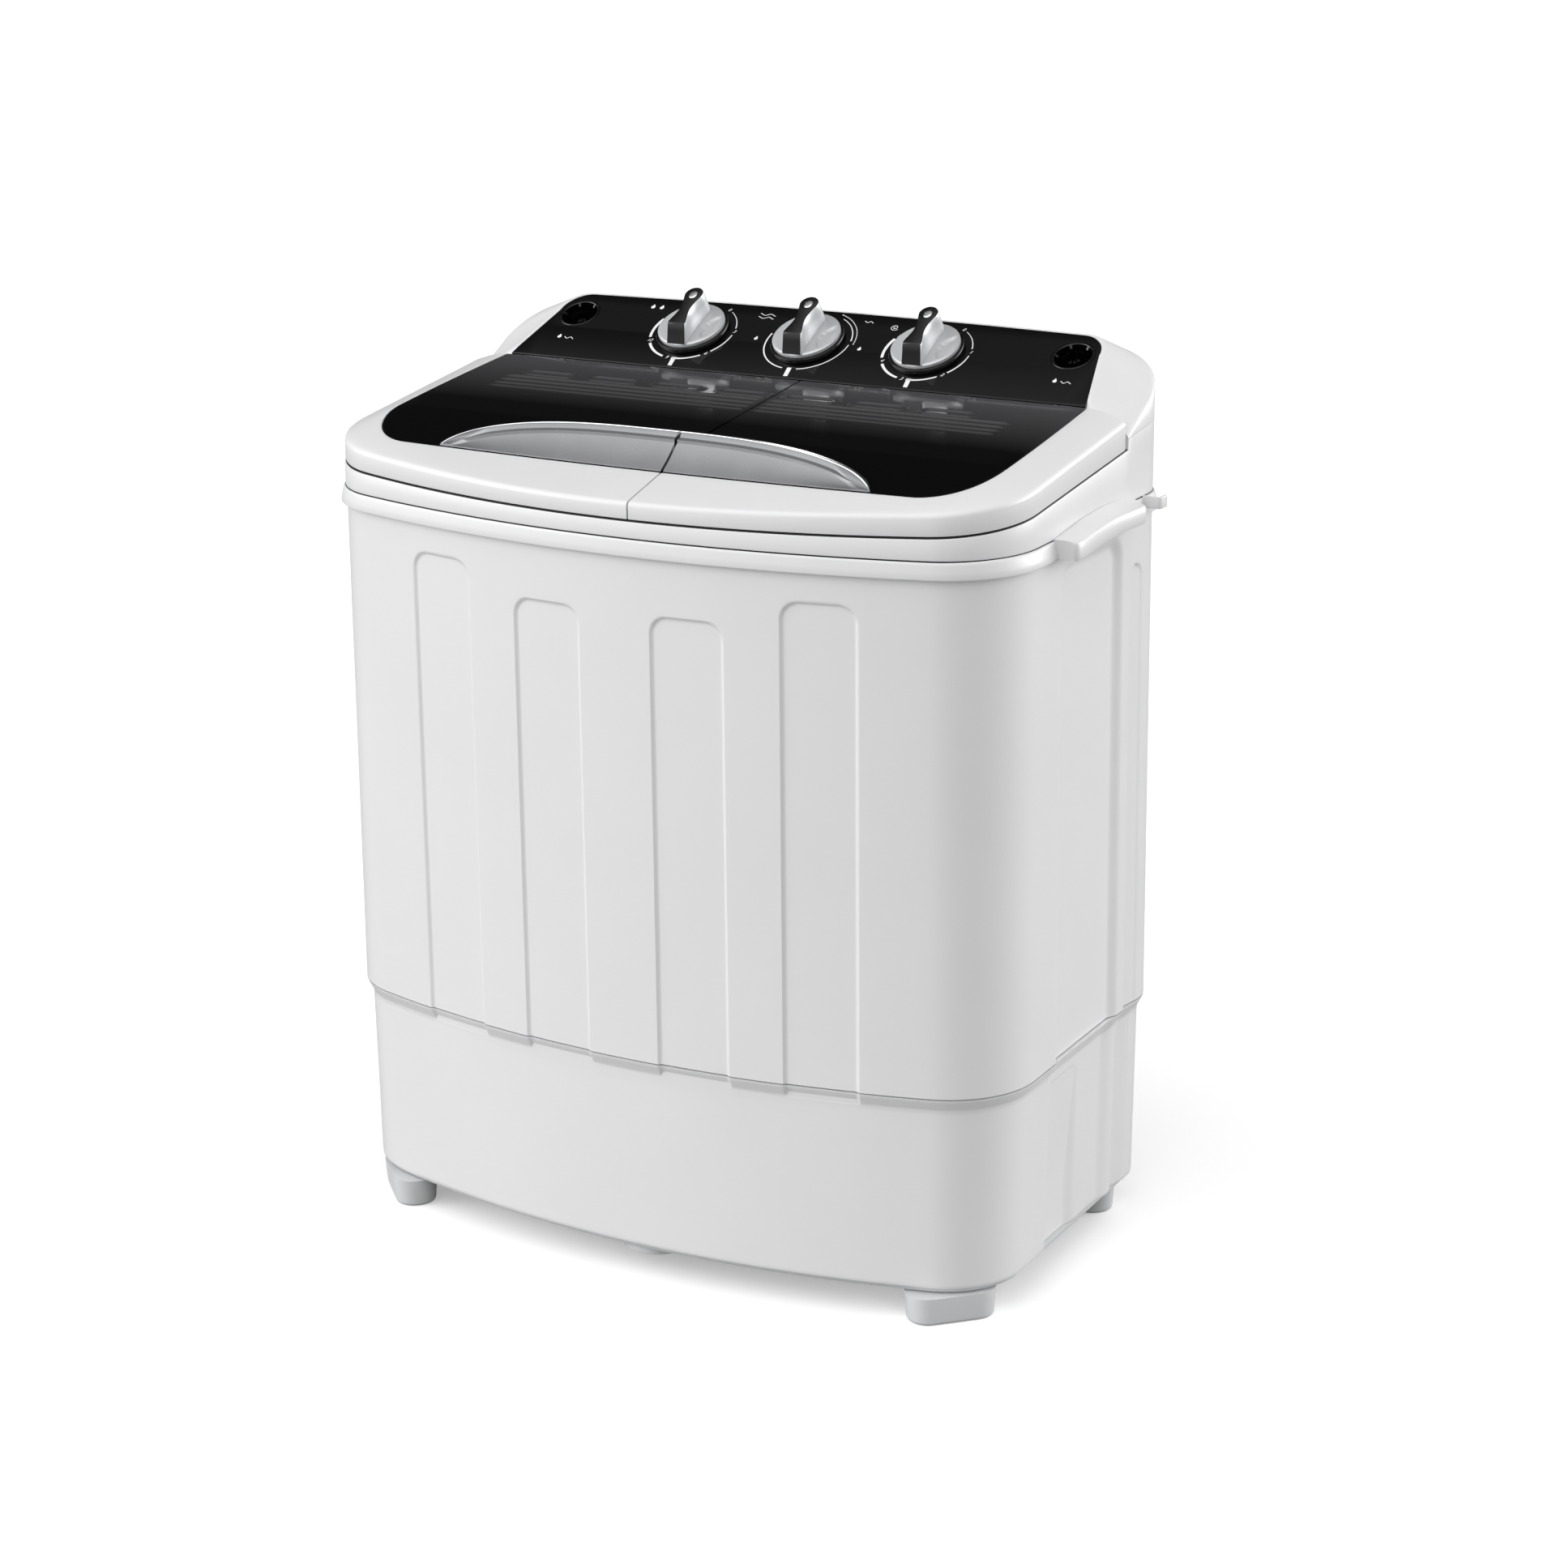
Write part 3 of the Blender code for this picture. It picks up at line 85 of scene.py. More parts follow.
# %% Colours and nodes
def colour(code):
    """sRGB hex to linear: v / 12.92 below 0.04045, else ((v + 0.055) / 1.055) to the power 2.4."""
    value = np.array([int(code[i:i + 2], 16) / 255 for i in (1, 3, 5)])
    return (*np.where(value <= 0.04045, value / 12.92, ((value + 0.055) / 1.055) ** 2.4), 1.0)


def add_node(tree, kind, inputs=None, **settings):
    """Adds one node; `inputs` holds values, or other nodes' outputs, which are linked."""
    node = tree.nodes.new(kind)
    for field, value in settings.items():
        setattr(node, field, value)
    for socket, value in (inputs or {}).items():
        if isinstance(value, bpy.types.NodeSocket):
            tree.links.new(value, node.inputs[socket])
        else:
            node.inputs[socket].default_value = value
    return node


def new_finish(name, **sockets):
    """A material with its shader's constants set, and the node tree and shader to go on with."""
    finish = bpy.data.materials.new(name)
    finish.use_nodes = True
    shader = finish.node_tree.nodes["Principled BSDF"]
    for socket, value in sockets.items():
        shader.inputs[socket.replace("_", " ")].default_value = value
    return finish, finish.node_tree, shader


def grain_bump(tree, shader, size_mm, height_mm, strength, stretch=(1, 1, 1)):
    """Bumps of one grain size, in metres on Object coordinates: noise scale is 1 over the grain size."""
    place = add_node(tree, "ShaderNodeTexCoord")
    turn = add_node(tree, "ShaderNodeMapping", {"Vector": place.outputs["Object"], "Scale": stretch})
    noise = add_node(tree, "ShaderNodeTexNoise", {"Vector": turn.outputs[0], "Scale": 1000 / size_mm, "Detail": 3.0})
    bump = add_node(tree, "ShaderNodeBump", {"Height": noise.outputs[0], "Strength": strength,
                                             "Distance": height_mm / 1000})
    tree.links.new(bump.outputs[0], shader.inputs["Normal"])
    return noise


def tint_and_shine(tree, shader, first, second, low, high, size_mm):
    """Drifts the colour between two values, and the roughness between two more, over patches of one size."""
    place = add_node(tree, "ShaderNodeTexCoord")
    patch = add_node(tree, "ShaderNodeTexNoise", {"Vector": place.outputs["Object"], "Scale": 1000 / size_mm})
    ramp = add_node(tree, "ShaderNodeValToRGB", {"Fac": patch.outputs[0]})
    ramp.color_ramp.elements[0].color = colour(first)
    ramp.color_ramp.elements[1].color = colour(second)
    shine = add_node(tree, "ShaderNodeMapRange", {"Value": patch.outputs[0], "To Min": low, "To Max": high})
    tree.links.new(ramp.outputs[0], shader.inputs["Base Color"])
    tree.links.new(shine.outputs[0], shader.inputs["Roughness"])


# %% [markdown]
# ## Finishes
# The case is injection-moulded ABS: a solid white with a soft gloss, and a texture of a few tenths of a
# millimetre that only shows as a slight blur in reflections. The console and the windows are polished, the
# windows smoked; the windows' colour is painted paler towards the rear, a painted see-through that stands in
# for the white deck and rail lying close below them. The pulls and dials carry a silver paint, whose flakes
# make it half a metal.

# %% White, grey and tub plastic
def moulded(name, first, second, low, high, grain=2.5, ior=1.53):
    """Moulded plastic. The mould's grain is about 0.3 mm, drawn at 2.5 mm so that it shows."""
    finish, tree, shader = new_finish(name, IOR=ior)
    tint_and_shine(tree, shader, first, second, low, high, 90)
    grain_bump(tree, shader, grain, 0.012, 0.25)
    return finish


abs_white = moulded("moulded_white_abs", "#E6E6E7", "#EAEAEB", 0.30, 0.36)
pp_grey = moulded("moulded_grey_polypropylene", "#7C7F83", "#888B8F", 0.48, 0.6, grain=1.5, ior=1.49)
pp_pale = moulded("moulded_pale_grey_polypropylene", "#D2D3D4", "#DADBDC", 0.44, 0.54, grain=1.5, ior=1.49)
pp_tub = moulded("moulded_tub_polypropylene", "#C9D6DC", "#D3DEE3", 0.28, 0.36, ior=1.49)
nylon_grey = moulded("moulded_switch_nylon", "#C9C7BF", "#D2D0C9", 0.5, 0.58, grain=1.5)
rubber_black = moulded("moulded_black_rubber", "#1A1A1B", "#232324", 0.7, 0.8, grain=1.2, ior=1.52)
print("plastics:", [m.name for m in (abs_white, pp_grey, pp_pale, pp_tub, nylon_grey, rubber_black)])


# %% Polished black, smoked window and printed ink
def polished(name, first, second, low=0.04, high=0.07):
    """Polished acrylic over black: nearly a mirror, with very faint moulding waves about 40 mm long."""
    finish, tree, shader = new_finish(name, IOR=1.49)
    tint_and_shine(tree, shader, first, second, low, high, 60)
    grain_bump(tree, shader, 40, 0.02, 0.05)
    return finish


def smoked(name):
    """Smoked window, its colour painted from black over the deep tub to grey behind the vents: a painted see-through
    that stands in for the white rail lying just below.
    """
    finish, tree, shader = new_finish(name, IOR=1.49, Roughness=0.07)
    place = add_node(tree, "ShaderNodeTexCoord")
    parts = add_node(tree, "ShaderNodeSeparateXYZ", {"Vector": place.outputs["Object"]})
    # Painted see-through: the colour runs from black at the front to grey at the rear, standing in for the white rail
    # below.
    depth = add_node(tree, "ShaderNodeMapRange", {"Value": parts.outputs["Y"], "From Min": -0.03, "From Max": 0.085})
    ramp = add_node(tree, "ShaderNodeValToRGB", {"Fac": depth.outputs[0]})
    ramp.color_ramp.elements[0].color = colour("#060607")
    ramp.color_ramp.elements[1].color = colour("#505052")
    tree.links.new(ramp.outputs[0], shader.inputs["Base Color"])
    grain_bump(tree, shader, 40, 0.02, 0.05)
    return finish


acrylic_black = polished("polished_black_acrylic", "#050506", "#08080A")
abs_black = polished("satin_black_abs", "#101011", "#161617", 0.16, 0.24)
smoke_and_painted_see_through = smoked("polished_smoked_acrylic_and_painted_see_through")
white_ink_and_painted_reflection = moulded("screen_printed_white_ink_and_painted_reflection", "#F2F2F2", "#FBFBFB", 0.4, 0.5, grain=1.0)
# The joint black is painted shade where it shows: strips set in narrow gaps that fall into shadow. The cutters use it
# too.
joint_shadow = moulded("black_joint_gasket", "#0A0A0A", "#121212", 0.5, 0.6)
print("gloss finishes:", acrylic_black.name, smoke_and_painted_see_through.name)


# %% Silver paint and steel
def silver(name, first, second, low, high, flake, stretch=(1, 1, 1), metal=1.0):
    """Steel is a full metal and silver paint a partial one; flakes or brush lines break the reflection up."""
    finish, tree, shader = new_finish(name, Metallic=metal)
    tint_and_shine(tree, shader, first, second, low, high, 30)
    grain_bump(tree, shader, flake, 0.006, 0.3, stretch)
    return finish


silver_paint = silver("silver_painted_abs", "#CDCED0", "#D6D7D9", 0.30, 0.36, 0.8, metal=0.35)
silver_satin = silver("satin_silver_painted_abs", "#A6A7A9", "#B0B1B3", 0.24, 0.3, 0.8, metal=0.7)
# The brighter silver is the dial buttons' own finish, and a painted highlight on the beads along the pulls' edges.
silver_bright_and_painted_highlight = silver("bright_silver_and_painted_highlight", "#E2E3E5", "#EDEDEF", 0.16, 0.22, 0.8)
steel_brushed = silver("brushed_steel", "#A9ABAE", "#BBBDC0", 0.28, 0.4, 0.8, (1, 1, 12))
steel_zinc = silver("zinc_plated_steel", "#9EA3A8", "#B4B8BC", 0.35, 0.5, 1.5)
iron_cast = moulded("painted_cast_iron", "#4A4C4F", "#585A5D", 0.5, 0.65, grain=1.5)
mesh_filter = moulded("woven_nylon_filter", "#7E93A6", "#92A6B8", 0.7, 0.8, grain=1.2)
print("metals:", silver_paint.name, steel_brushed.name)

# %% [markdown]
# ## From formulas to meshes
# Every new piece is a surface worked out on a grid of two parameters, in millimetres. These helpers join the grid's
# neighbours into faces, close what must be closed, turn the faces outwards and hand the mesh over in metres.

# %% Grids to meshes
def join(*parts):
    """Coordinates side by side: arrays of x, y and z become points."""
    return np.stack(np.broadcast_arrays(*parts), axis=-1)


def grid_faces(rows, columns, wrap_rows=False, wrap_columns=False):
    """Faces between neighbours: a corner is row * columns + column, and wrapping joins the last to the first."""
    r = np.arange(rows if wrap_rows else rows - 1)[:, None]
    c = np.arange(columns if wrap_columns else columns - 1)[None, :]
    r2, c2 = (r + 1) % rows, (c + 1) % columns
    return join(r * columns + c, r * columns + c2, r2 * columns + c2, r2 * columns + c).reshape(-1, 4)


def add_piece(name, points, faces, finish, sharp=32.0, tidy=True):
    """Makes a mesh from millimetres, merges doubles, turns faces outwards and smooths below an angle."""
    mesh = bpy.data.meshes.new(name)
    mesh.from_pydata((np.asarray(points).reshape(-1, 3) / 1000).tolist(), [], [list(map(int, f)) for f in faces])
    if tidy:
        work = bmesh.new()
        work.from_mesh(mesh)
        bmesh.ops.remove_doubles(work, verts=work.verts, dist=2e-6)
        bmesh.ops.dissolve_degenerate(work, edges=work.edges, dist=1e-6)
        bmesh.ops.recalc_face_normals(work, faces=work.faces)
        work.to_mesh(mesh)
        work.free()
    mesh.materials.append(finish)
    piece = bpy.data.objects.new(name, mesh)
    scene.collection.objects.link(piece)
    smooth(piece, sharp)
    return piece


def smooth(piece, sharp=32.0):
    piece.data.shade_smooth()
    piece.data.set_sharp_from_angle(angle=math.radians(sharp))


def tube_grid(name, grid, finish, ends=True, ring=False, **more):
    """A skin over loops of points, one row each; the ends are capped, or `ring` joins the last row to the first."""
    grid = np.asarray(grid, dtype=float)
    rows, columns = grid.shape[:2]
    faces = grid_faces(rows, columns, wrap_rows=ring, wrap_columns=True).tolist()
    if ends and not ring:
        faces += [list(range(columns)), [(rows - 1) * columns + i for i in range(columns)]]
    return add_piece(name, grid, faces, finish, **more)


def lathe(name, place, section, finish, steps=96, **more):
    """Circles of (radius, height), put in their place by a function of (across, along, height)."""
    a = np.linspace(0, math.tau, steps, endpoint=False)
    return tube_grid(name, [place(r * np.cos(a), r * np.sin(a), h) for r, h in section], finish, **more)


def bake(piece, sharp=32.0):
    """Applies every modifier on a piece to its mesh."""
    bpy.context.view_layer.update()
    shaped = bpy.data.meshes.new_from_object(piece.evaluated_get(bpy.context.evaluated_depsgraph_get()))
    piece.modifiers.clear()
    piece.data = shaped
    smooth(piece, sharp)
    return piece


def cut(piece, *cutters, operation="DIFFERENCE"):
    """Cuts pieces out of another, or joins them, then removes the cutters."""
    for cutter in cutters:
        step = piece.modifiers.new("cut", "BOOLEAN")
        step.operation, step.solver, step.object = operation, "EXACT", cutter
        bake(piece)
        bpy.data.objects.remove(cutter)
    return piece


def round_edges(piece, width_mm, angle=40.0):
    """Rounds edges sharper than an angle by a width in millimetres."""
    step = piece.modifiers.new("round", "BEVEL")
    step.width, step.segments, step.angle_limit = width_mm / 1000, 3, math.radians(angle)
    step.limit_method, step.use_clamp_overlap, step.harden_normals = "ANGLE", True, False
    return bake(piece)


def settle(piece, body="cabinet", stands_for=()):
    """Rides a finished piece on a body, and hides the CAD nodes it stands for."""
    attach(piece, body)
    if stands_for:
        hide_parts(*([stands_for] if isinstance(stands_for, str) else stands_for))
    return piece


# %% Curves and steps
def ease(value):
    """0 below 0, 1 above 1, and 3 t squared minus 2 t cubed between."""
    t = np.clip(value, 0, 1)
    return t * t * (3 - 2 * t)


def soft_min(a, b, width):
    """The lower of two heights, rounded: mean less half the root of (difference squared plus width squared)."""
    return (a + b) / 2 - np.sqrt((a - b) ** 2 + width ** 2) / 2 + width * 0.1


def arc(cx, cy, radius, start, end, steps):
    """Centre plus radius times (cosine, sine), between two angles in degrees."""
    a = np.radians(np.linspace(start, end, steps))
    return join(cx + radius * np.cos(a), cy + radius * np.sin(a))


def rounded_rectangle(cx, cy, half_x, half_y, corner, steps=9):
    """Four corner arcs, each a quarter turn, joined by straight sides."""
    quarters = [arc(cx + sx * (half_x - corner), cy + sy * (half_y - corner), corner, start, start + 90, steps)
                for sx, sy, start in ((1, -1, -90), (1, 1, 0), (-1, 1, 90), (-1, -1, 180))]
    return np.concatenate(quarters)


def lift(plan, height):
    """A plan outline with a height, which may be an array."""
    return np.concatenate([plan, np.broadcast_to(height, len(plan))[:, None]], axis=1)


def box_distance(x, y, half_x, half_y, corner):
    """Distance to a rounded rectangle, negative inside: outside length plus inside part, less the radius."""
    qx, qy = np.abs(x) - half_x + corner, np.abs(y) - half_y + corner
    return np.hypot(np.maximum(qx, 0), np.maximum(qy, 0)) + np.minimum(np.maximum(qx, qy), 0) - corner


def dense(coarse, *spans):
    """Even samples plus closer ones inside spans of (from, to, step)."""
    values = [np.asarray(coarse, dtype=float)] + [np.arange(a, b, step) for a, b, step in spans]
    values = np.sort(np.concatenate(values))
    return values[np.concatenate([[True], np.diff(values) > 0.35])]


# %% [markdown]
# ## The plan outline
# Case, base, rim and lids all follow one outline: a front that bows out on a large radius, two generous front
# corners, straight sides and smaller rear corners. It is worked out once with its normals, and every level of the
# machine lies some distance inside it.

# %% Plan outline
HALF_WIDTH, HALF_DEPTH, BOW, FRONT_CORNER, REAR_CORNER = 286.0, 172.5, 824.0, 75.0, 45.0
SIDE_END = HALF_DEPTH - REAR_CORNER
DECK_INSET, LID_INSET = np.array([4.8, 1.8]), np.array([5.4, 2.8])
BOW_Y = BOW - HALF_DEPTH
CORNER_REACH = math.sqrt((BOW - FRONT_CORNER) ** 2 - (HALF_WIDTH - FRONT_CORNER) ** 2)
CORNER_Y = BOW_Y - CORNER_REACH
LEAN = math.degrees(math.atan2(HALF_WIDTH - FRONT_CORNER, CORNER_REACH))
BOW_END = BOW * math.sin(math.radians(LEAN))


def half_plan(front_x, side_y, corner_steps=26, rear_steps=14, back_x=(200, 120, 60, 0)):
    """The right half of the outline: bow, corner, side, rear corner and back, each as points with unit normals."""
    front_x, side_y = np.asarray(front_x, dtype=float), np.asarray(side_y, dtype=float)
    bow = join(front_x, BOW_Y - np.sqrt(BOW ** 2 - front_x ** 2))
    bow_normal = (bow - [0, BOW_Y]) / BOW
    angles = np.radians(np.linspace(-90 + LEAN, 0, corner_steps))[1:-1]
    turn = join(np.cos(angles), np.sin(angles))
    corner = turn * FRONT_CORNER + [HALF_WIDTH - FRONT_CORNER, CORNER_Y]
    side = join(HALF_WIDTH, side_y)
    angles = np.radians(np.linspace(0, 90, rear_steps))[1:]
    turn_back = join(np.cos(angles), np.sin(angles))
    rear = turn_back * REAR_CORNER + [HALF_WIDTH - REAR_CORNER, HALF_DEPTH - REAR_CORNER]
    back = join(np.asarray(back_x, dtype=float), np.full(len(back_x), HALF_DEPTH))
    points = np.concatenate([bow, corner, side, rear, back])
    normals = np.concatenate([bow_normal, turn, np.tile([1.0, 0.0], (len(side), 1)), turn_back,
                              np.tile([0.0, 1.0], (len(back), 1))])
    return points, normals


def whole_plan(points, normals):
    """The right half followed by its mirror image, without the two points on the centre line twice."""
    flip = np.array([-1.0, 1.0])
    return np.concatenate([points, points[-2:0:-1] * flip]), np.concatenate([normals, normals[-2:0:-1] * flip])


def spread(y):
    """The machine is 1% wider at the front than at the back."""
    return 1 + 0.01 * (0.5 - y / (2 * HALF_DEPTH))


def inside(points, normals, side, front):
    """Moves points inwards along their normals: `side` where the normal is along x, `front` where it is along y."""
    step = side * normals[..., 0] ** 2 + front * normals[..., 1] ** 2
    moved = points - normals * step[..., None]
    return join(moved[..., 0] * spread(moved[..., 1]), moved[..., 1])


def level_inset(z, levels):
    """Insets at heights, straight between levels of (height, side, front)."""
    table = np.array(levels)
    return np.interp(z, table[:, 0], table[:, 1]), np.interp(z, table[:, 0], table[:, 2])


coarse_points, coarse_normals = whole_plan(*half_plan(np.linspace(0, BOW_END, 18),
                                                      np.linspace(CORNER_Y, SIDE_END, 9)))
print("outline points:", len(coarse_points), "front corner starts at x", round(BOW_END, 1))

# %% [markdown]
# ## The case
# The real case is one moulding, 381 mm high, with four shallow panels pressed into its front and two recesses in
# each side. Booleans would leave razor sharp grooves. Here the wall is a grid along the outline and up the height,
# and the pressing is a depth that depends on the distance to a rounded rectangle, so its edges come out soft.

# %% Case wall with pressed panels
FRONT_PANELS = ((156.5, 27.0, 537.0), (58.0, 27.8, 517.0))
SEAM, RIM_BOTTOM, SIDE_TOP = 176.9, 559.0, 548.0
SEAM_GAP = 1.1
CASE_LEVELS = ((SEAM, 1.9, 5.3), (RIM_BOTTOM, 4.5, 4.5))


def front_pressing(x, z):
    """Depth 1.8 mm inside each front panel, over a 2.6 mm bevel; the panels run off the wall's lower edge."""
    depth = np.zeros(np.broadcast(x, z).shape)
    for centre, half, top in FRONT_PANELS:
        distance = box_distance(np.abs(x) - centre, z - (top - 250), half, 250, 13.0)
        depth = np.maximum(depth, 1.8 * ease(0.5 - distance / 2.6))
    return depth


def side_pressing(y, z):
    """The broad recess is 4.6 mm deep with an 8 mm front bevel and a 12 mm rear one; behind it runs a narrow ramp."""
    distance = box_distance(y - 26.5, z - (SIDE_TOP - 400), 51.5, 400, 15.0)
    depth = 4.6 * ease(0.5 - distance / np.where(y < 26, 8.0, 12.0))
    slot = box_distance(y - 107.3, z - (SIDE_TOP - 425), 10.8, 400, 10.7)
    ramp = ease(0.5 - slot / 1.6) * (1 - 0.85 * np.clip((y - 97) / 21, 0, 1))
    return np.maximum(depth, 4.2 * ramp)


def pressing(points, normals, z):
    """Front and side pressings, each only where the wall faces that way."""
    front = front_pressing(points[:, 0], z) * (normals[:, 1] < -0.9)
    return front + side_pressing(points[:, 1], z) * (np.abs(normals[:, 0]) > 0.95)


def pressed_rows(heights, levels, depth):
    """The outline at each height, set in by the levels and by the depth of the pressing."""
    rows = []
    for z in heights:
        sunk = depth(wall, wall_normals, z)
        side, front = level_inset(z, levels)
        rows.append(lift(inside(wall, wall_normals, side + sunk, front + sunk), z))
    return rows


fine_x = dense(np.linspace(0, BOW_END, 16), *[(edge - w, edge + v, 0.9) for edge, w, v in
               ((30.2, 3, 15), (85.8, 15, 3), (129.5, 3, 15), (183.5, 15, 3))])
fine_y = dense(np.linspace(CORNER_Y, SIDE_END, 12), (-35, -18, 1.2), (64, 120, 1.2))
wall, wall_normals = whole_plan(*half_plan(fine_x, fine_y))
outer_z = dense(np.linspace(SEAM + SEAM_GAP, RIM_BOTTOM - 0.3, 20), (501, 552, 1.3))
rows = pressed_rows(outer_z, CASE_LEVELS, pressing)
for z in (RIM_BOTTOM - 0.3, SEAM + SEAM_GAP):
    side, front = level_inset(z, CASE_LEVELS)
    rows.append(lift(inside(wall, wall_normals, side + 6.0, front + 5.0), z))
case = tube_grid("case_wall", rows, abs_white, ring=True)


def block(name, low, high):
    """A plain block, used to cut with."""
    corners = np.array([[low[0], low[1]], [high[0], low[1]], [high[0], high[1]], [low[0], high[1]]], dtype=float)
    return tube_grid(name, [lift(corners, low[2]), lift(corners, high[2])], joint_shadow, sharp=20)


cut(case, block("service_opening", (-188, 150, 222), (188, 185, 488)))
settle(case, stands_for="casing")
print("case wall:", len(rows), "rows of", len(wall), "->", len(case.data.polygons), "faces")

# %% [markdown]
# ## The base
# The base flares out in a narrow lip where the case stands on it. Its sides carry the case's recess down and add a
# deeper pocket and a slot, so its own pressing is a sum of three such shapes.

# %% Base skirt
BASE_LEVELS = ((27.6, 9.0, 11.4), (29.6, 8.6, 11.0), (165.0, 6.8, 10.0), (168.0, 6.2, 9.5), (175.4, 2.3, 5.7),
               (SEAM, 1.9, 5.3))


def base_pressing(points, normals, z):
    """The case's recess carried down, a deeper pocket ahead of y = 22 below 158 mm, and a slot from y = 93 to 115."""
    y = points[:, 1]
    broad = 3.2 * ease((y + 31) / 10) * ease((85 - y) / 16)
    pocket = 3.4 * ease((y + 24) / 8) * ease((30 - y) / 14) * ease((158 - z) / 8)
    slot = 5.0 * ease((y - 92) / 3) * (1 - 0.9 * np.clip((y - 96) / 19, 0, 1)) * (y < 117)
    lip = 1 - 0.5 * ease((z - 164) / 6)
    front = front_pressing(points[:, 0], z) * (normals[:, 1] < -0.9) * ease((z - 166.5) / 4)
    return front + (broad + pocket + slot) * lip * (np.abs(normals[:, 0]) > 0.95)


fine_y = dense(np.linspace(CORNER_Y, SIDE_END, 12), (-34, -12, 1.5), (12, 34, 1.5), (64, 120, 1.5))
wall, wall_normals = whole_plan(*half_plan(fine_x, fine_y))
base_z = dense(np.linspace(27.6, SEAM, 12), (27.6, 31, 0.8), (146, 162, 2.0), (163.5, 177.4, 0.9)).clip(27.6, SEAM)
rows = pressed_rows(base_z, BASE_LEVELS, base_pressing)
rows.append(lift(inside(wall, wall_normals, 9.5, 9.3), SEAM))
rows.append(lift(inside(wall, wall_normals, 17.0, 15.4), 27.6))
base = tube_grid("base_skirt_shell", rows, abs_white, ring=True)
settle(base, stands_for="base_skirt")
print("base:", len(base.data.polygons), "faces")

# %% [markdown]
# Under the base a pale floor pan is set in, with a round boss under its front edge, and the machine stands on four
# oblong feet, each set along its corner. A foot is a stack of ovals that follow a quarter circle at the bottom.

# %% Floor pan and feet
pan_low, pan_high = 22.6, 27.2
pan_rows = [lift(inside(coarse_points, coarse_normals, 9 + a, 11.4 + a), z)
            for a, z in ((3.2, pan_high), (3.2, pan_low + 2.5), (4.2, pan_low + 0.6), (6.0, pan_low))]
settle(tube_grid("floor_pan", pan_rows, pp_pale), stands_for="bottom_plate")
boss = [lift(arc(3, -126.5, r, 0, 352.5, 48), z) for r, z in ((27.5, 22.5), (27.8, 18), (27.2, 16.2), (25.5, 15.4))]
settle(tube_grid("centre_boss", boss, pp_pale))

for side, x in (("left", -238), ("right", 240)):
    for end, y in (("front", -108), ("rear", 130)):
        turned = 1 if (side == "right") == (end == "front") else -1
        rows = []
        for tuck, z in [(3.0 * (1 - math.sqrt(1 - (1 - t) ** 2)), 3.0 * t) for t in np.linspace(0, 1, 7)] + [
                (-1.0, 16), (-1.3, 21), (-1.3, 22)]:
            oblong = rounded_rectangle(0, 0, 33 - tuck, 16 - tuck, 15 - tuck)
            along, across = oblong[:, 0], oblong[:, 1]
            rows.append(lift(join(x + (along - turned * across) * math.sqrt(0.5),
                                     y + (turned * along + across) * math.sqrt(0.5)), z))
        settle(tube_grid(f"{end}_{side}_foot", rows, pp_pale), stands_for=f"foot_{end}_{side}")
print("feet rest at z 0; the pan hangs to", pan_low)

# %% [markdown]
# ## The rim
# A band closes the top of the case. It is the widest part of the machine, with a small radius above and a hard
# lower edge that throws a line of shade on the case, so its section is a short list of (inset, height) points.

# %% Rim band
RIM_SECTION = ((1.2, 1.2, 559.0), (0.3, 0.3, 559.3), (0.0, 0.0, 560.2), (0.9, 0.4, 564.5), (2.4, 0.8, 569.6),
               (3.0, 1.1, 571.0), (4.2, 1.9, 571.8), (8.5, 8.5, 571.8), (8.5, 8.5, 559.0))
wall, wall_normals = whole_plan(*half_plan(np.linspace(0, BOW_END, 26), np.linspace(CORNER_Y, SIDE_END, 14)))
rows = [lift(inside(wall, wall_normals, side, front), z) for side, front, z in RIM_SECTION]
settle(tube_grid("rim_band_moulding", rows, abs_white, ring=True, sharp=45), stands_for="rim_band")


def deck_top(y):
    """The seam between deck and lids climbs 105 mm a metre towards the back."""
    return 584.1 + 0.105 * (y + HALF_DEPTH)


# %% [markdown]
# ## The deck
# The deck is the white top under the lids. Its side shows as a band below the lids, and when they are up its face
# shows with both tub mouths. The block is lofted from the outline, its step under the console is joined on, the
# mouths are cut with Booleans, and one Bevel rounds every edge that this left.

# %% Deck with two mouths
rows = [lift(inside(wall, wall_normals, *DECK_INSET + s), 572.1) for s in (20.0, 0.0)]
rows += [lift(inside(wall, wall_normals, *DECK_INSET + s), deck_top(wall[:, 1]) - d)
         for s, d in ((0, 1.2), (0.35, 0.35), (1.2, 0), (10, 0.0))]
deck = tube_grid("deck_moulding", rows, abs_white)
step_plan = inside(wall, wall_normals, *DECK_INSET)
step_rows = [lift(step_plan, z) for z in (np.full(len(wall), 574.0), deck_top(wall[:, 1]) + 8.4)]
rear_step = tube_grid("rear_step", step_rows, abs_white)
cut(rear_step, block("ahead", (-400, -400, 500), (400, 89.2, 800)))
cut(deck, rear_step, operation="UNION")
cut(deck, tube_grid("wash_mouth", [lift(rounded_rectangle(-134, -26, 121, 96, 42, 12), z) for z in (560, 640)],
                    abs_white),
    tube_grid("spin_mouth", [lift(arc(146, -20, 86, 0, 356.25, 96), z) for z in (560, 640)], abs_white))
round_edges(deck, 1.6, angle=50)
settle(deck, stands_for="top_deck")
print("deck:", len(deck.data.polygons), "faces")

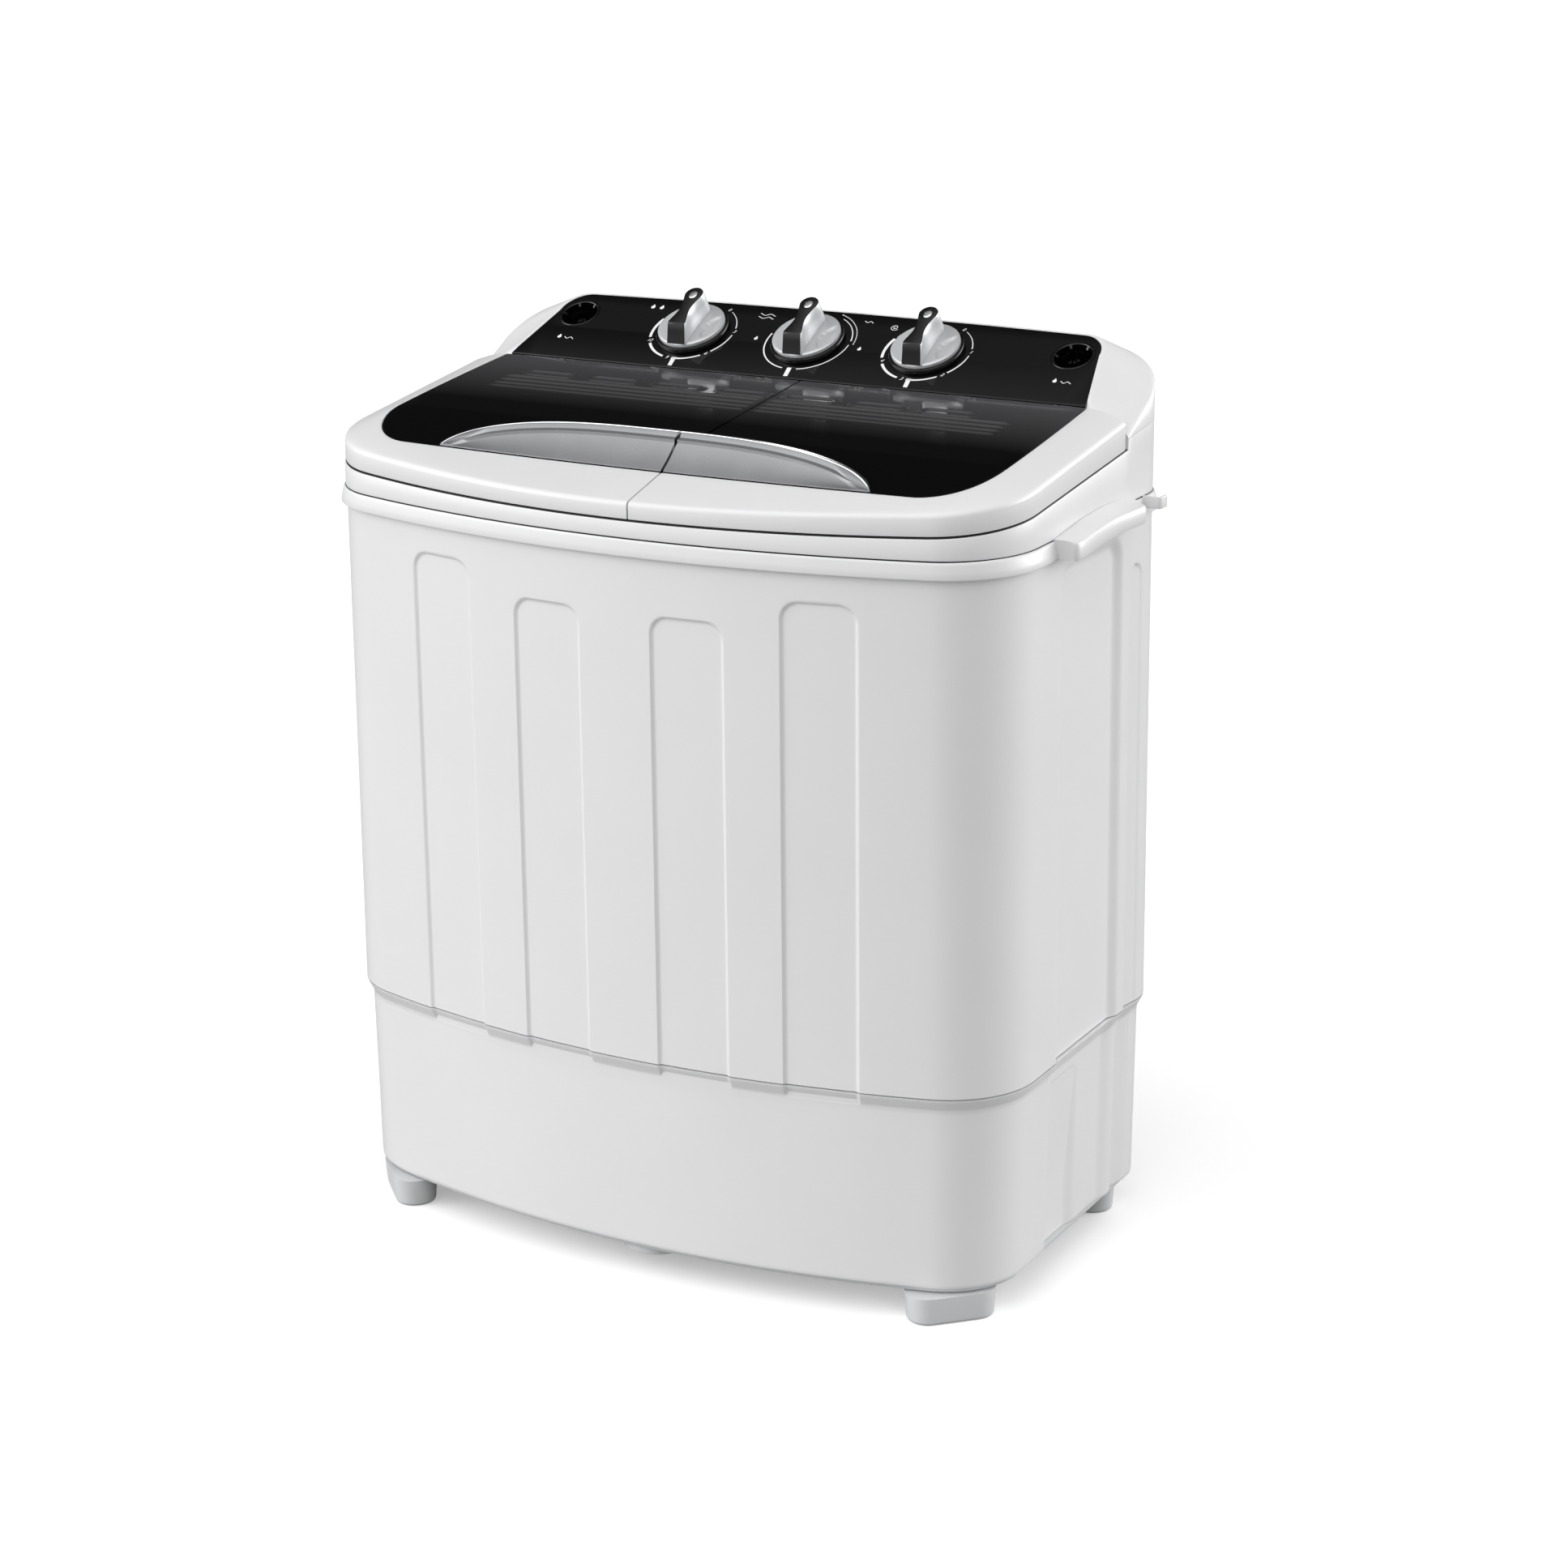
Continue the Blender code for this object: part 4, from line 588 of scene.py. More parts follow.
# %% Painted joint shadows
# Painted shade: black strips in the gap under the lids and along the deck's joint with the rim, where shadow falls.
for name, near, far, seat, low, high in (("lid_seat_painted_shadow", 0.9, 3.0, deck_top(wall[:, 1]), -0.6, 0.8),
                                         ("deck_joint_painted_shadow", -0.35, 0.8, 572.0, -0.5, 0.5)):
    rows = [lift(inside(wall, wall_normals, *DECK_INSET + s), seat + h)
            for s, h in ((near, low), (near, high), (far, high), (far, low))]
    settle(tube_grid(name, rows, joint_shadow, ring=True))
print("painted_shadow_strips: 2")

# %% [markdown]
# ## The handles and the hook
# On each side a lip swells out of the rim like a wave: its top climbs the deck's wall and sinks again, and its
# edge turns down so that fingers can pull on it. It is one section of fourteen points, carried from front to back
# while its reach and height follow smooth curves.

# %% Side handles
def through(t, places, values):
    """A smooth curve through a few values: eased straight stretches, averaged with the plain ones."""
    places, values = np.asarray(places, dtype=float), np.asarray(values, dtype=float)
    fine = np.linspace(places[0], places[-1], 241)
    straight = np.interp(fine, places, values)
    kernel = np.hanning(41)
    padded = np.pad(straight, 20, mode="reflect", reflect_type="odd")
    return np.interp(t, fine, np.convolve(padded, kernel / kernel.sum(), "valid"))


handle_y = np.concatenate([[-41.6, -41.3, -40.6, -39.6], np.linspace(-38, 91, 60), [92.0, 92.7, 93.0]])
reach = through(handle_y, (-42, -30, -17, 18, 45, 86, 93), (302.4, 302.6, 300.6, 296.4, 294.3, 296.8, 297.2))
reach -= 4.0 * (1 - np.sqrt(1 - np.clip((-37.6 - handle_y) / 4.1, 0, 1) ** 2))
reach -= 5.0 * (1 - np.sqrt(1 - np.clip((handle_y - 88) / 5.1, 0, 1) ** 2))
crown = through(handle_y, (-42, -20, 6, 46, 85, 93), (573.0, 575.6, 578.4, 580.2, 577.6, 576.0))
root = HALF_WIDTH * spread(handle_y)
wall_x = (HALF_WIDTH - DECK_INSET[0]) * spread(handle_y) + 0.15
for side, sign in (("right", 1), ("left", -1)):
    under = 559.5 + 8.9 * ease((handle_y + 39) / 3) * ease((91 - handle_y) / 3)
    section = [(wall_x, crown - 0.4), (wall_x + 1.2, crown), ((wall_x + reach) / 2, crown * 0.45 + 573.2 * 0.55),
               (reach - 3.2, 572.6), (reach - 1.2, 571.9), (reach, 570.0),
               (reach, 560.4), (reach - 0.7, 559.3), (reach - 2.4, 559.6),
               (reach - 3.0, under), (root + 1.6, under), (root + 1.6, 559.6),
               (root - 5, 559.3),
               (wall_x, 572.0)]
    grid = np.stack([join(sign * x, handle_y, z) for x, z in section], axis=1)
    settle(tube_grid(f"carry_lip_{side}", grid, abs_white, sharp=38), stands_for=f"side_handle_{side}")
print("handle reach, mm:", round(float(reach.max()), 1))


def swept(name, path, section, finish, **more):
    """Carries a flat section of (across, up) along a path: across is the path's level normal, up is Z."""
    path, section = np.asarray(path, dtype=float), np.asarray(section, dtype=float)
    along = np.gradient(path, axis=0)
    across = join(along[:, 1], -along[:, 0], 0 * along[:, 0])
    across /= np.linalg.norm(across, axis=1)[:, None]
    grid = path[:, None, :] + across[:, None, :] * section[None, :, :1] + np.array([0, 0, 1.0]) * section[None, :, 1:]
    return tube_grid(name, grid, finish, **more)


hook_root = HALF_WIDTH * float(spread(128.0)) + 0.3
hook_path = np.concatenate([[[hook_root - 4, 116.4]], arc(hook_root + 7.2, 118.6, 2.2, -90, 0, 8),
                            [[hook_root + 9.4, 127.0]]])
hook_section = rounded_rectangle(0, 568.6, 1.3, 4.6, 1.1, 4)
settle(swept("hose_hook_arm", np.pad(hook_path, ((0, 0), (0, 1))), hook_section, abs_white), stands_for="hose_hook")

# %% [markdown]
# ## The console
# Behind the lids a wedge climbs to the back and carries the black panel. Its wall goes straight up to a crease, then
# leans in to the panel's edge. Three outlines with the same number of points give the foot, the crease and the
# edge, and short curves between them round the crease and the lip around the panel.

# %% Console outlines
CONSOLE_FRONT = 89.4


def crease_height(y):
    return 623 + 0.55 * (y - 89.2)


def panel_height(y):
    """The panel's face climbs 516 mm a metre."""
    return 641.4 + 0.516 * (y - 87.5)


PANEL_TILT = math.atan(0.516)
PANEL_NORMAL = np.array([0, -math.sin(PANEL_TILT), math.cos(PANEL_TILT)])
PANEL_UP = np.array([0, math.cos(PANEL_TILT), math.sin(PANEL_TILT)])


def console_foot():
    """The rear half of the outline, closed by a straight front."""
    side = np.linspace(CONSOLE_FRONT, SIDE_END, 12)
    corner = arc(HALF_WIDTH - REAR_CORNER, SIDE_END, REAR_CORNER, 0, 90, 17)[1:]
    half = np.concatenate([join(HALF_WIDTH, side), corner])
    normals = np.concatenate([np.tile([1.0, 0.0], (12, 1)),
                              (corner - [HALF_WIDTH - REAR_CORNER, SIDE_END]) / REAR_CORNER])
    return inside(half, normals, *DECK_INSET)


def closed_half(half):
    """Adds the straight front and back of a right-hand half outline and its mirror image."""
    front = join(np.linspace(0, half[0, 0], 14, endpoint=False), np.full(14, half[0, 1]))
    back = join(np.linspace(half[-1, 0], 0, 15)[1:], np.full(14, half[-1, 1]))
    right = np.concatenate([front, half, back])
    return np.concatenate([right, right[-2:0:-1] * [-1.0, 1.0]])


def panel_outline(shrink=0.0, front=87.5):
    """Sides lean in 14 mm towards the back, whose edge bows 3.5 mm from its ends to its middle."""
    back, corner = 162.0 - shrink, 20.0
    half_back, taper = 236.3 - shrink, 14.0 / 54.5
    side_y = np.linspace(front, back - corner, 12)
    side = join(half_back + taper * (back - corner - side_y), side_y)
    turn = arc(half_back - corner, back - corner, corner, 0, 90, 17)[1:]
    outline = closed_half(np.concatenate([side, turn]))
    bow = 3.5 * (1 - (outline[:, 0] / 236) ** 2) * np.clip((outline[:, 1] - front) / (back - front), 0, 1) ** 6
    outline[:, 1] += np.clip(bow, -3, 3.5)
    return outline


foot_plan = closed_half(console_foot())
edge_plan = panel_outline(front=88.6)


def blend_plans(a, b, t):
    return a + (b - a) * t


rows = [lift(foot_plan, deck_top(foot_plan[:, 1]) + 8.8),
        lift(foot_plan, crease_height(foot_plan[:, 1]) - 3.0)]
edge_z = panel_height(edge_plan[:, 1]) - 2.5 * ease((91 - edge_plan[:, 1]) / 2)
crease_z = crease_height(foot_plan[:, 1])
for t in (0.0, 0.25, 0.5, 0.75, 1.0):
    lean_to = 0.18 * t ** 1.6
    rows.append(lift(blend_plans(foot_plan, edge_plan, lean_to),
                     crease_z - 3 * (1 - t) ** 1.5 + lean_to * (edge_z - crease_z)))
rows += [lift(blend_plans(foot_plan, edge_plan, t), crease_z + t * (edge_z - crease_z)) for t in (0.5, 0.8, 0.97)]
rim_plan = panel_outline(0.6, front=88.9)
rows.append(lift(rim_plan, panel_height(rim_plan[:, 1]) + 0.15 - 2.6 * ease((91 - rim_plan[:, 1]) / 2)))
ledge_plan = panel_outline(1.5, front=89.8)
rows.append(lift(ledge_plan, panel_height(ledge_plan[:, 1]) + 0.05 - 2.6 * ease((91 - ledge_plan[:, 1]) / 1.2)))
rows.append(lift(ledge_plan, np.maximum(panel_height(ledge_plan[:, 1]) - 26, deck_top(ledge_plan[:, 1]) + 12)))
console = tube_grid("console_moulding", rows, abs_white, sharp=50)
print("console:", len(console.data.polygons), "faces")


def on_panel(across, along, height):
    """Points from distances across the panel, up its slope from the dials' line, and out along its normal."""
    across, along, height = np.broadcast_arrays(*(np.asarray(v, dtype=float) for v in (across, along, height)))
    start = np.array([0, 128.5, panel_height(128.5)])
    return (start + across[..., None] * [1.0, 0, 0] + along[..., None] * PANEL_UP + height[..., None] * PANEL_NORMAL)


INLET_X, INLET_ALONG = 215, (137.7 - 128.5) / math.cos(PANEL_TILT)


# %% [markdown]
# The panel is a 4.2 mm plate of polished black acrylic with a hair's breadth of rounding at its edge, and it lets
# the two inlet cups through. A ridge inside each cup keys the hose's end, and is a small wave of its radius.

# %% Panel and inlets
inner_plans = [(panel_outline(1.75, front=88.1), -4.2), (panel_outline(1.75, front=87.9), -0.8),
               (panel_outline(1.95, front=88.1), -0.15), (panel_outline(2.5, front=88.8), 0.0)]
panel = tube_grid("console_panel", [lift(plan, panel_height(plan[:, 1]) + h) for plan, h in inner_plans],
                  acrylic_black)
for side in (-1, 1):
    cut(panel, lathe("inlet_cutter", lambda u, v, h: on_panel(side * INLET_X + u, INLET_ALONG + v, h),
                      [(16.9, -14), (16.9, 8)], joint_shadow, 72))
    name = "left" if side < 0 else "right"
    section = [(16.4, -22), (16.4, 0.15), (16.0, 0.5), (15.0, 0.5), (14.5, 0.1), (14.2, -2.0), (13.8, -12),
               (13.4, -19.0), (12.0, -20.0), (5.2, -20.2), (5.0, -22.0)]
    a = np.linspace(0, math.tau, 96, endpoint=False)
    rows = []
    for radius, height in section:
        key = 1.6 * (np.cos(a * 6) > 0.86) * (height < -1.5) * (radius > 13)
        rows.append(on_panel(side * INLET_X + (radius - key) * np.cos(a), INLET_ALONG + (radius - key) * np.sin(a),
                             height))
    cup = tube_grid(f"inlet_cup_{name}", rows, acrylic_black, ring=True)
    settle(cup, stands_for=f"water_inlet_{name}")
settle(console, stands_for="console_shell")
settle(panel, stands_for="control_panel")
print("panel tilt, degrees:", round(math.degrees(PANEL_TILT), 1))

# %% [markdown]
# ## The dials
# Each dial is a black skirt, a silver disc and a bar to turn. Seen from above the bar has a square front end, a
# waist and a round head; its sides are silver and sweep down to the disc, its top and front are black, and an oval
# silver button marks the head. The bar is a stack of outlines, wider and longer at the foot than at the top.

# %% Dial shapes
DIALS = (("wash_timer", -105.0), ("selector", -3.0), ("spin_timer", 99.0))


def bar_outline(front, back, half, waist):
    """Square front corners, then an S-curve in to the waist and out to a head of radius `half`."""
    head_y = back - half
    t = np.linspace(0, 1, 14)
    right_y = front + 1.2 + (head_y - front - 1.2) * t
    pinch = np.sin(math.pi * np.clip(t, 0, 1)) ** 1.3
    right = join(half - (half - waist) * pinch, right_y)
    head = arc(0, head_y, half, 0, 180, 17)[1:-1]
    nose = np.array([[-half + 0.5, front], [half - 0.5, front]])
    return np.concatenate([right, head, right[::-1] * [-1.0, 1.0], nose])


def dial_bar(x, name):
    """Seven levels from the disc to the top; the last two round the edge over."""
    rows = []
    for t in (0.0, 0.03, 0.3, 0.6, 0.94, 0.985, 1.0):
        tuck = {0.985: 0.25, 1.0: 0.9}.get(t, 0.0)
        front, back = -26.5 + 8.0 * t + tuck, 24.6 - 2.2 * t - tuck
        half = 8.4 - 0.5 * t - tuck
        outline = bar_outline(front, back, half, 4.7 - tuck + 2.6 * (1 - t) ** 2)
        top = 21.6 + 0.112 * (outline[:, 1] + 18)
        rows.append(on_panel(x + outline[:, 0], outline[:, 1], 7.7 + (top - 7.7) * t))
    bar = tube_grid(f"{name}_bar", rows, silver_paint, sharp=42)
    bar.data.materials.append(abs_black)
    heights = np.empty(len(bar.data.polygons) * 3)
    bar.data.polygons.foreach_get("normal", heights)
    normals = heights.reshape(-1, 3) @ join(PANEL_NORMAL, PANEL_UP)
    centres = np.empty(len(bar.data.polygons) * 3)
    bar.data.polygons.foreach_get("center", centres)
    high = (centres.reshape(-1, 3) * 1000 - on_panel(x, 0, 0)) @ PANEL_NORMAL > 10
    black = (normals[:, 0] > 0.9) & high | (normals[:, 1] < -0.6)
    bar.data.polygons.foreach_set("material_index", black.astype(np.int32))
    return bar


def disc_with_thumb_facet(x, name):
    """The disc's face: flat, with a crescent scooped 1.4 mm deep on its right for the thumb."""
    radii = np.concatenate([[0.6], np.linspace(3, 24, 12), np.linspace(24.6, 26.2, 4)])
    a = np.linspace(0, math.tau, 120, endpoint=False)
    rows = [on_panel(x + 26.9 * np.cos(a), 26.9 * np.sin(a), h) for h in (4.4, 6.7)]
    for r in radii[::-1]:
        u, v = r * np.cos(a), r * np.sin(a)
        ridge = np.hypot(u - 34, v + 4) - 21.5
        scoop = 1.4 * ease(-ridge / 1.2) * ease((26 - r) / 5)
        rows.append(on_panel(x + u, v, 7.6 - 0.5 * max(0.0, (r - 25.4) / 0.8) ** 2 - scoop))
    return tube_grid(f"{name}_silver_disc", rows, silver_paint, sharp=40)


def ellipsoid_button(x, name):
    """A shallow oval cap: radii 3.4 and 4.2 mm, 0.6 mm high, sloping with the bar's top."""
    rings = []
    a = np.linspace(0, math.tau, 36, endpoint=False)
    for scale, height in ((1.0, -0.3), (1.0, 0.12), (0.9, 0.4), (0.55, 0.55), (0.1, 0.6)):
        u, v = 3.4 * scale * np.cos(a), 14.0 + 4.2 * scale * np.sin(a)
        rings.append(on_panel(x + u, v, 21.6 + 0.112 * (v + 18) + height))
    return tube_grid(f"{name}_button", rings, silver_bright_and_painted_highlight)


for name, x in DIALS:
    body = f"{name}_dial"
    skirt = lathe(f"{name}_black_skirt", lambda u, v, h: on_panel(x + u, v, h),
                  [(2.6, -12), (2.6, 0.45), (29.3, 0.45), (29.5, 0.9), (29.3, 3.2),
                            (28.8, 3.9), (28.0, 4.2), (0.5, 4.2)], acrylic_black)
    settle(skirt, body, f"{name}_skirt")
    settle(disc_with_thumb_facet(x, name), body, f"{name}_disc")
    settle(dial_bar(x, name), body, f"{name}_grip")
    settle(ellipsoid_button(x, name), body)
print("dials at x", [x for _, x in DIALS])

# %% [markdown]
# ## The printed scales
# The scales are screen printed in white: arcs that grow thicker as the time gets longer, and numbers. A white
# mark under each dial, drawn the same way, is a painted reflection of the dial in the glossy panel. The print
# could be a texture, but crisp geometry 0.15 mm thick stays sharp in any view. Words are left out; small drawings
# of a drop, waves and a spiral stand in for them.

# %% Print helpers
PRINT, SCALE, NUMBER_SIZE = (0.02, 0.17), 35.0, 4.6


def printed(name, strokes):
    """Flat strokes, each an outline of (across, along) points, given the print's thickness, in one mesh."""
    points, faces, start = [], [], 0
    for outline in strokes:
        count = len(outline)
        for height in PRINT:
            points.append(on_panel(outline[:, 0], outline[:, 1], height))
        ring = np.arange(count)
        ahead = (ring + 1) % count
        faces += (start + join(ring, ahead, ahead + count, ring + count)).tolist()
        faces += [(ring[::-1] + start).tolist(), (ring + count + start).tolist()]
        start += 2 * count
    piece = add_piece(name, np.concatenate(points), faces, white_ink_and_painted_reflection)
    return settle(piece)


def ribbon(x, start, end, radius, width_start, width_end, steps=28):
    """An arc band round a dial, whose width runs evenly from one value to the other."""
    a = np.radians(np.linspace(start, end, steps))
    width = np.linspace(width_start, width_end, steps) / 2
    outer = join(x + (radius + width) * np.cos(a), (radius + width) * np.sin(a))
    inner = join(x + (radius - width) * np.cos(a), (radius - width) * np.sin(a))
    return np.concatenate([outer, inner[::-1]])


def stroke(path, width):
    """A line of even width along a path of points."""
    path = np.asarray(path, dtype=float)
    along = np.gradient(path, axis=0)
    across = join(-along[:, 1], along[:, 0]) / np.hypot(along[:, 0], along[:, 1])[:, None] * width / 2
    return np.concatenate([path + across, (path - across)[::-1]])


def number(text, x, angle):
    """A number set upright and slanted at an angle round a dial, made a mesh and laid on the panel."""
    curve = bpy.data.curves.new("number", "FONT")
    curve.body, curve.size, curve.align_x, curve.align_y, curve.shear = text, NUMBER_SIZE, "CENTER", "CENTER", 0.35
    curve.extrude, curve.resolution_u = 0.08, 3
    holder = bpy.data.objects.new("number", curve)
    scene.collection.objects.link(holder)
    bpy.context.view_layer.update()
    mesh = bpy.data.meshes.new_from_object(holder.evaluated_get(bpy.context.evaluated_depsgraph_get()))
    bpy.data.objects.remove(holder)
    flat = np.empty(len(mesh.vertices) * 3)
    mesh.vertices.foreach_get("co", flat)
    flat = flat.reshape(-1, 3)
    a = math.radians(angle)
    spots = on_panel(x + SCALE * math.cos(a) + flat[:, 0], SCALE * math.sin(a) + flat[:, 1], flat[:, 2] + 0.09)
    mesh.vertices.foreach_set("co", (spots / 1000).ravel())
    mesh.materials.append(white_ink_and_painted_reflection)
    piece = bpy.data.objects.new(f"number_{text}_at_{int(x + 200)}", mesh)
    scene.collection.objects.link(piece)
    return settle(piece)


# %% Scales, painted dial reflections and small drawings
STEP = 53.5


def drop(cx, cy, size):
    """A water drop: a circle whose top is drawn to a point."""
    a = np.linspace(0, math.tau, 28, endpoint=False)
    r = size * (0.55 + 0.5 * np.exp(-((a - math.pi / 2) / 0.35) ** 2))
    return join(cx + r * np.cos(a), cy + r * np.sin(a))


def wave(cx, cy, length=9.0, height=0.8):
    t = np.linspace(-0.5, 0.5, 24)
    return stroke(join(cx + t * length, cy + height * np.sin(t * math.tau * 1.5)), 0.55)


def spiral(cx, cy, size=3.0):
    t = np.linspace(0.15, 1, 40)
    return stroke(join(cx + size * t * np.cos(t * 12), cy + size * t * np.sin(t * 12)), 0.5)


for (name, x), numbers in zip(DIALS, (("0", "3", "6", "9", "12", "15"), (), ("0", "1", "2", "3", "4", "5"))):
    # The first stroke under each dial is a painted reflection: a white mark where the glossy panel reflects the dial.
    strokes = [np.array([[x - 1.9, -33.6], [x + 1.9, -33.6], [x + 2.9, -44.0], [x - 0.6, -44.0]])]
    for i, text in enumerate(numbers):
        number(text, x, 60 - STEP * i)
    if numbers:
        for i in range(5):
            gap = 7.0
            strokes.append(ribbon(x, 60 - STEP * i - gap, 60 - STEP * (i + 1) + gap, SCALE, 0.5 + 0.42 * i,
                                  0.9 + 0.42 * i))
    else:
        strokes += [ribbon(x, 62, 8, SCALE, 0.6, 1.0), ribbon(x, 0, -80, SCALE, 0.8, 1.0),
                    ribbon(x, -100, -190, SCALE, 1.0, 1.2)]
        strokes += [ribbon(x, a, a - 2.6, 38.4, 0.8, 0.8, 4) for a in np.linspace(70, 4, 17)]
    printed(f"{name}_scale", strokes)
printed("small_drawings", [drop(-155, 26, 3.2), drop(-147, 26, 3.2), wave(-52, 28.5, 14, 1.0),
                           wave(-52, 24.5, 14, 1.0),
                           spiral(60, 26, 3.6), wave(36, 30, 8), drop(43, -4, 2.8), drop(-48, -2, 2.8),
                           drop(-217, -21, 3.0), wave(-208, -21.5, 9, 1.0), drop(213, -21, 3.0),
                           wave(222, -21.5, 9, 1.0)])

# %% [markdown]
# ## The lids' shape
# Both lids share one crowned surface. From the outer edge it climbs inwards until it meets the dome, a gentle slope
# that steepens towards the front; a soft minimum of the two heights rounds the line where they cross.

# %% Lid surface
def edge_distance(x, y):
    """Distance to the lid outline: to the corner's arc beyond its centre, else the nearer of side and bow."""
    x = np.abs(x) / spread(y)
    width, depth = [HALF_WIDTH, HALF_DEPTH] - LID_INSET
    corner, bow = [FRONT_CORNER, BOW] - LID_INSET
    corner_y = bow - depth - math.sqrt((bow - corner) ** 2 - (width - corner) ** 2)
    straight = np.minimum(width - x, bow - np.hypot(x, y - bow + depth))
    turned = corner - np.hypot(x - width + corner, y - corner_y)
    return np.where((x > width - corner) & (y < corner_y), turned, straight)


def dome(y):
    return 641 - 0.107 * (84.5 - y) - 0.145 * np.maximum(0.0, -60 - y)


def lid_top(x, y):
    """The soft minimum of the dome and a slope of 360 mm a metre that starts 4 mm above the edge line."""
    edge = 600.1 + 0.128 * (y + HALF_DEPTH)
    return soft_min(dome(y), edge + 0.36 * np.maximum(0.0, edge_distance(x, y)), 2.5)


def window_front(x):
    return -122 + 4.5 * (x / 208) ** 2


def window_side(y):
    return 255 - 4.5 * ((y + 60) / 144.5) ** 2


SPLIT = {"wash_lid": (-1, -13.75), "spin_lid": (1, 15.25)}
EDGE_STEPS, LID_REAR = (40, 26, 18), 84.5


def window_edge(start, shrink):
    """The window's outline from the split to the rear: a bowed front, an elliptical corner and a bowed side."""
    x = np.linspace(start, 208, EDGE_STEPS[0])
    front = join(x, window_front(x) + shrink)
    a = np.radians(np.linspace(0, 90, EDGE_STEPS[1]))[1:-1]
    corner = join(208 + (47 - shrink) * np.sin(a), -60 - (57.5 - shrink) * np.cos(a))
    y = np.linspace(-60, LID_REAR, EDGE_STEPS[2])
    side = join(window_side(y) - shrink, y)
    return np.concatenate([front, corner, side])


def lid_edge(start, side_inset, front_inset):
    """The lid's outer outline with the same number of points as the window's."""
    points, normals = half_plan(np.linspace(start, BOW_END, EDGE_STEPS[0]),
                                np.linspace(CORNER_Y, LID_REAR, EDGE_STEPS[2]), EDGE_STEPS[1], 2, ())
    count = sum(EDGE_STEPS) - 2
    return inside(points[:count], normals[:count], side_inset, front_inset)


def on_lid(plan, height):
    return join(plan[:, 0], plan[:, 1], lid_top(plan[:, 0], plan[:, 1]) + height)


print("lid height at the rear:", round(float(lid_top(np.array([0.0]), np.array([84.5]))[0]), 1))

# %% [markdown]
# ## The white surrounds
# Each surround is ruled between the lid's outer edge and the window's edge, with a small radius on its shoulder. A
# closed section is carried from the split, round the front corner, to the rear, so its wall has a real thickness.

# %% Surrounds
for lid, (sign, start) in SPLIT.items():
    bottom = lid_edge(start, *LID_INSET + 0.3)
    foot = deck_top(bottom[:, 1]) + 1.2
    loops = [lift(bottom, foot), lift(lid_edge(start, *LID_INSET), foot + 0.6)]
    outer = lid_edge(start, *LID_INSET)
    for tuck, drop in ((0.0, 3.2), (0.25, 1.9), (0.9, 0.75), (2.0, 0.2)):
        plan = lid_edge(start, *LID_INSET + tuck)
        top = lid_top(outer[:, 0], outer[:, 1]) + 0.36 * tuck
        loops.append(lift(plan, top - drop))
    inner_edge = window_edge(start, 0.0)
    shoulder = lid_edge(start, *LID_INSET + 3.0)
    for f in (0.0, 0.15, 0.3, 0.45, 0.6, 0.75, 0.9):
        loops.append(on_lid(blend_plans(shoulder, window_edge(start, -1.0), f), 0.0))
    loops += [on_lid(window_edge(start, -1.0), 0.0), on_lid(window_edge(start, -0.3), -0.25),
              on_lid(inner_edge, -0.9), on_lid(inner_edge, -3.4)]
    inner_wall = shoulder
    loops.append(lift(inner_wall, lid_top(inner_wall[:, 0], inner_wall[:, 1]) - 5.0))
    loops.append(lift(inner_wall, foot))
    grid = np.stack(loops, axis=1) * [sign, 1, 1]
    surround = tube_grid(f"{lid}_surround", grid, abs_white, sharp=36)
    settle(surround, lid, f"{lid}_frame")
    # Painted shade: a black strip in the gap under the window's edge.
    section = [(-2.6, -3.3), (2.0, -3.3), (2.0, -2.0), (-2.6, -2.0)]
    painted_shadow_strip = np.stack([on_lid(window_edge(start, a), h) for a, h in section], axis=1) * [sign, 1, 1]
    settle(tube_grid(f"{lid}_gasket", painted_shadow_strip, joint_shadow), lid)
print("surround sections:", grid.shape[:2])

# %% [markdown]
# ## The smoked windows
# The windows are thin sheets that follow the dome. Long ribs and short loops for the vents stand up from them near
# the console, and a finger scoop dips behind the silver pull. All of that is one height, added to the lid surface
# on a grid that is fine where the ribs are, and Solidify gives the sheet its 3 mm.

# %% Pull curves
PULL_HALF = 178.0


def pull_share(x):
    return np.maximum(1 - (np.abs(x) / PULL_HALF) ** 2.8, 0.0015)


def pull_lip(x):
    """The lip's line in plan: 26 mm behind the window's front edge in the middle, closing to it at the ends."""
    return window_front(x) + 0.8 + 26 * pull_share(x) ** 0.6


def pull_rise(x):
    return 17 * pull_share(x) ** 0.7


def scoop_line(x):
    """The rear edge of the scoop: 62 mm behind its ends' line, with steep ends."""
    return window_front(x) + 1.2 + 61 * np.maximum(1 - (np.abs(x) / 177) ** 2.6, 0) ** 0.7


# %% Windows
RIBS = (4, 12, 21, 30)
LOOPS = (-182, -125, -68, -11, 46, 103, 160)


def window_relief(x, y):
    """Ribs 1.5 mm high, loops 1.3 mm high, and a scoop 3.5 mm deep behind the pull."""
    relief = np.zeros_like(x)
    for rib in RIBS:
        distance = np.hypot(np.maximum(np.abs(x) - 212, 0), y - rib)
        relief = np.maximum(relief, 1.5 * np.exp(-(distance / 1.5) ** 4))
    for loop in LOOPS:
        distance = box_distance(x - loop, y - 41.0, 21, 5, 4.9)
        relief = np.maximum(relief, 1.3 * np.exp(-(distance / 1.2) ** 4))
    relief *= ease((np.abs(x - 14.5) - 3.5) / 2.0)
    share = (y - pull_lip(x)) / np.maximum(scoop_line(x) - pull_lip(x), 1.0)
    dip = ease((share + 0.35) / 0.35) * ease((1.0 - share) / 0.16) * (np.abs(x) < 176)
    return relief - 3.5 * dip * ease((176 - np.abs(x)) / 10) * ease((np.abs(x - 14.5) - 2.5) / 3)


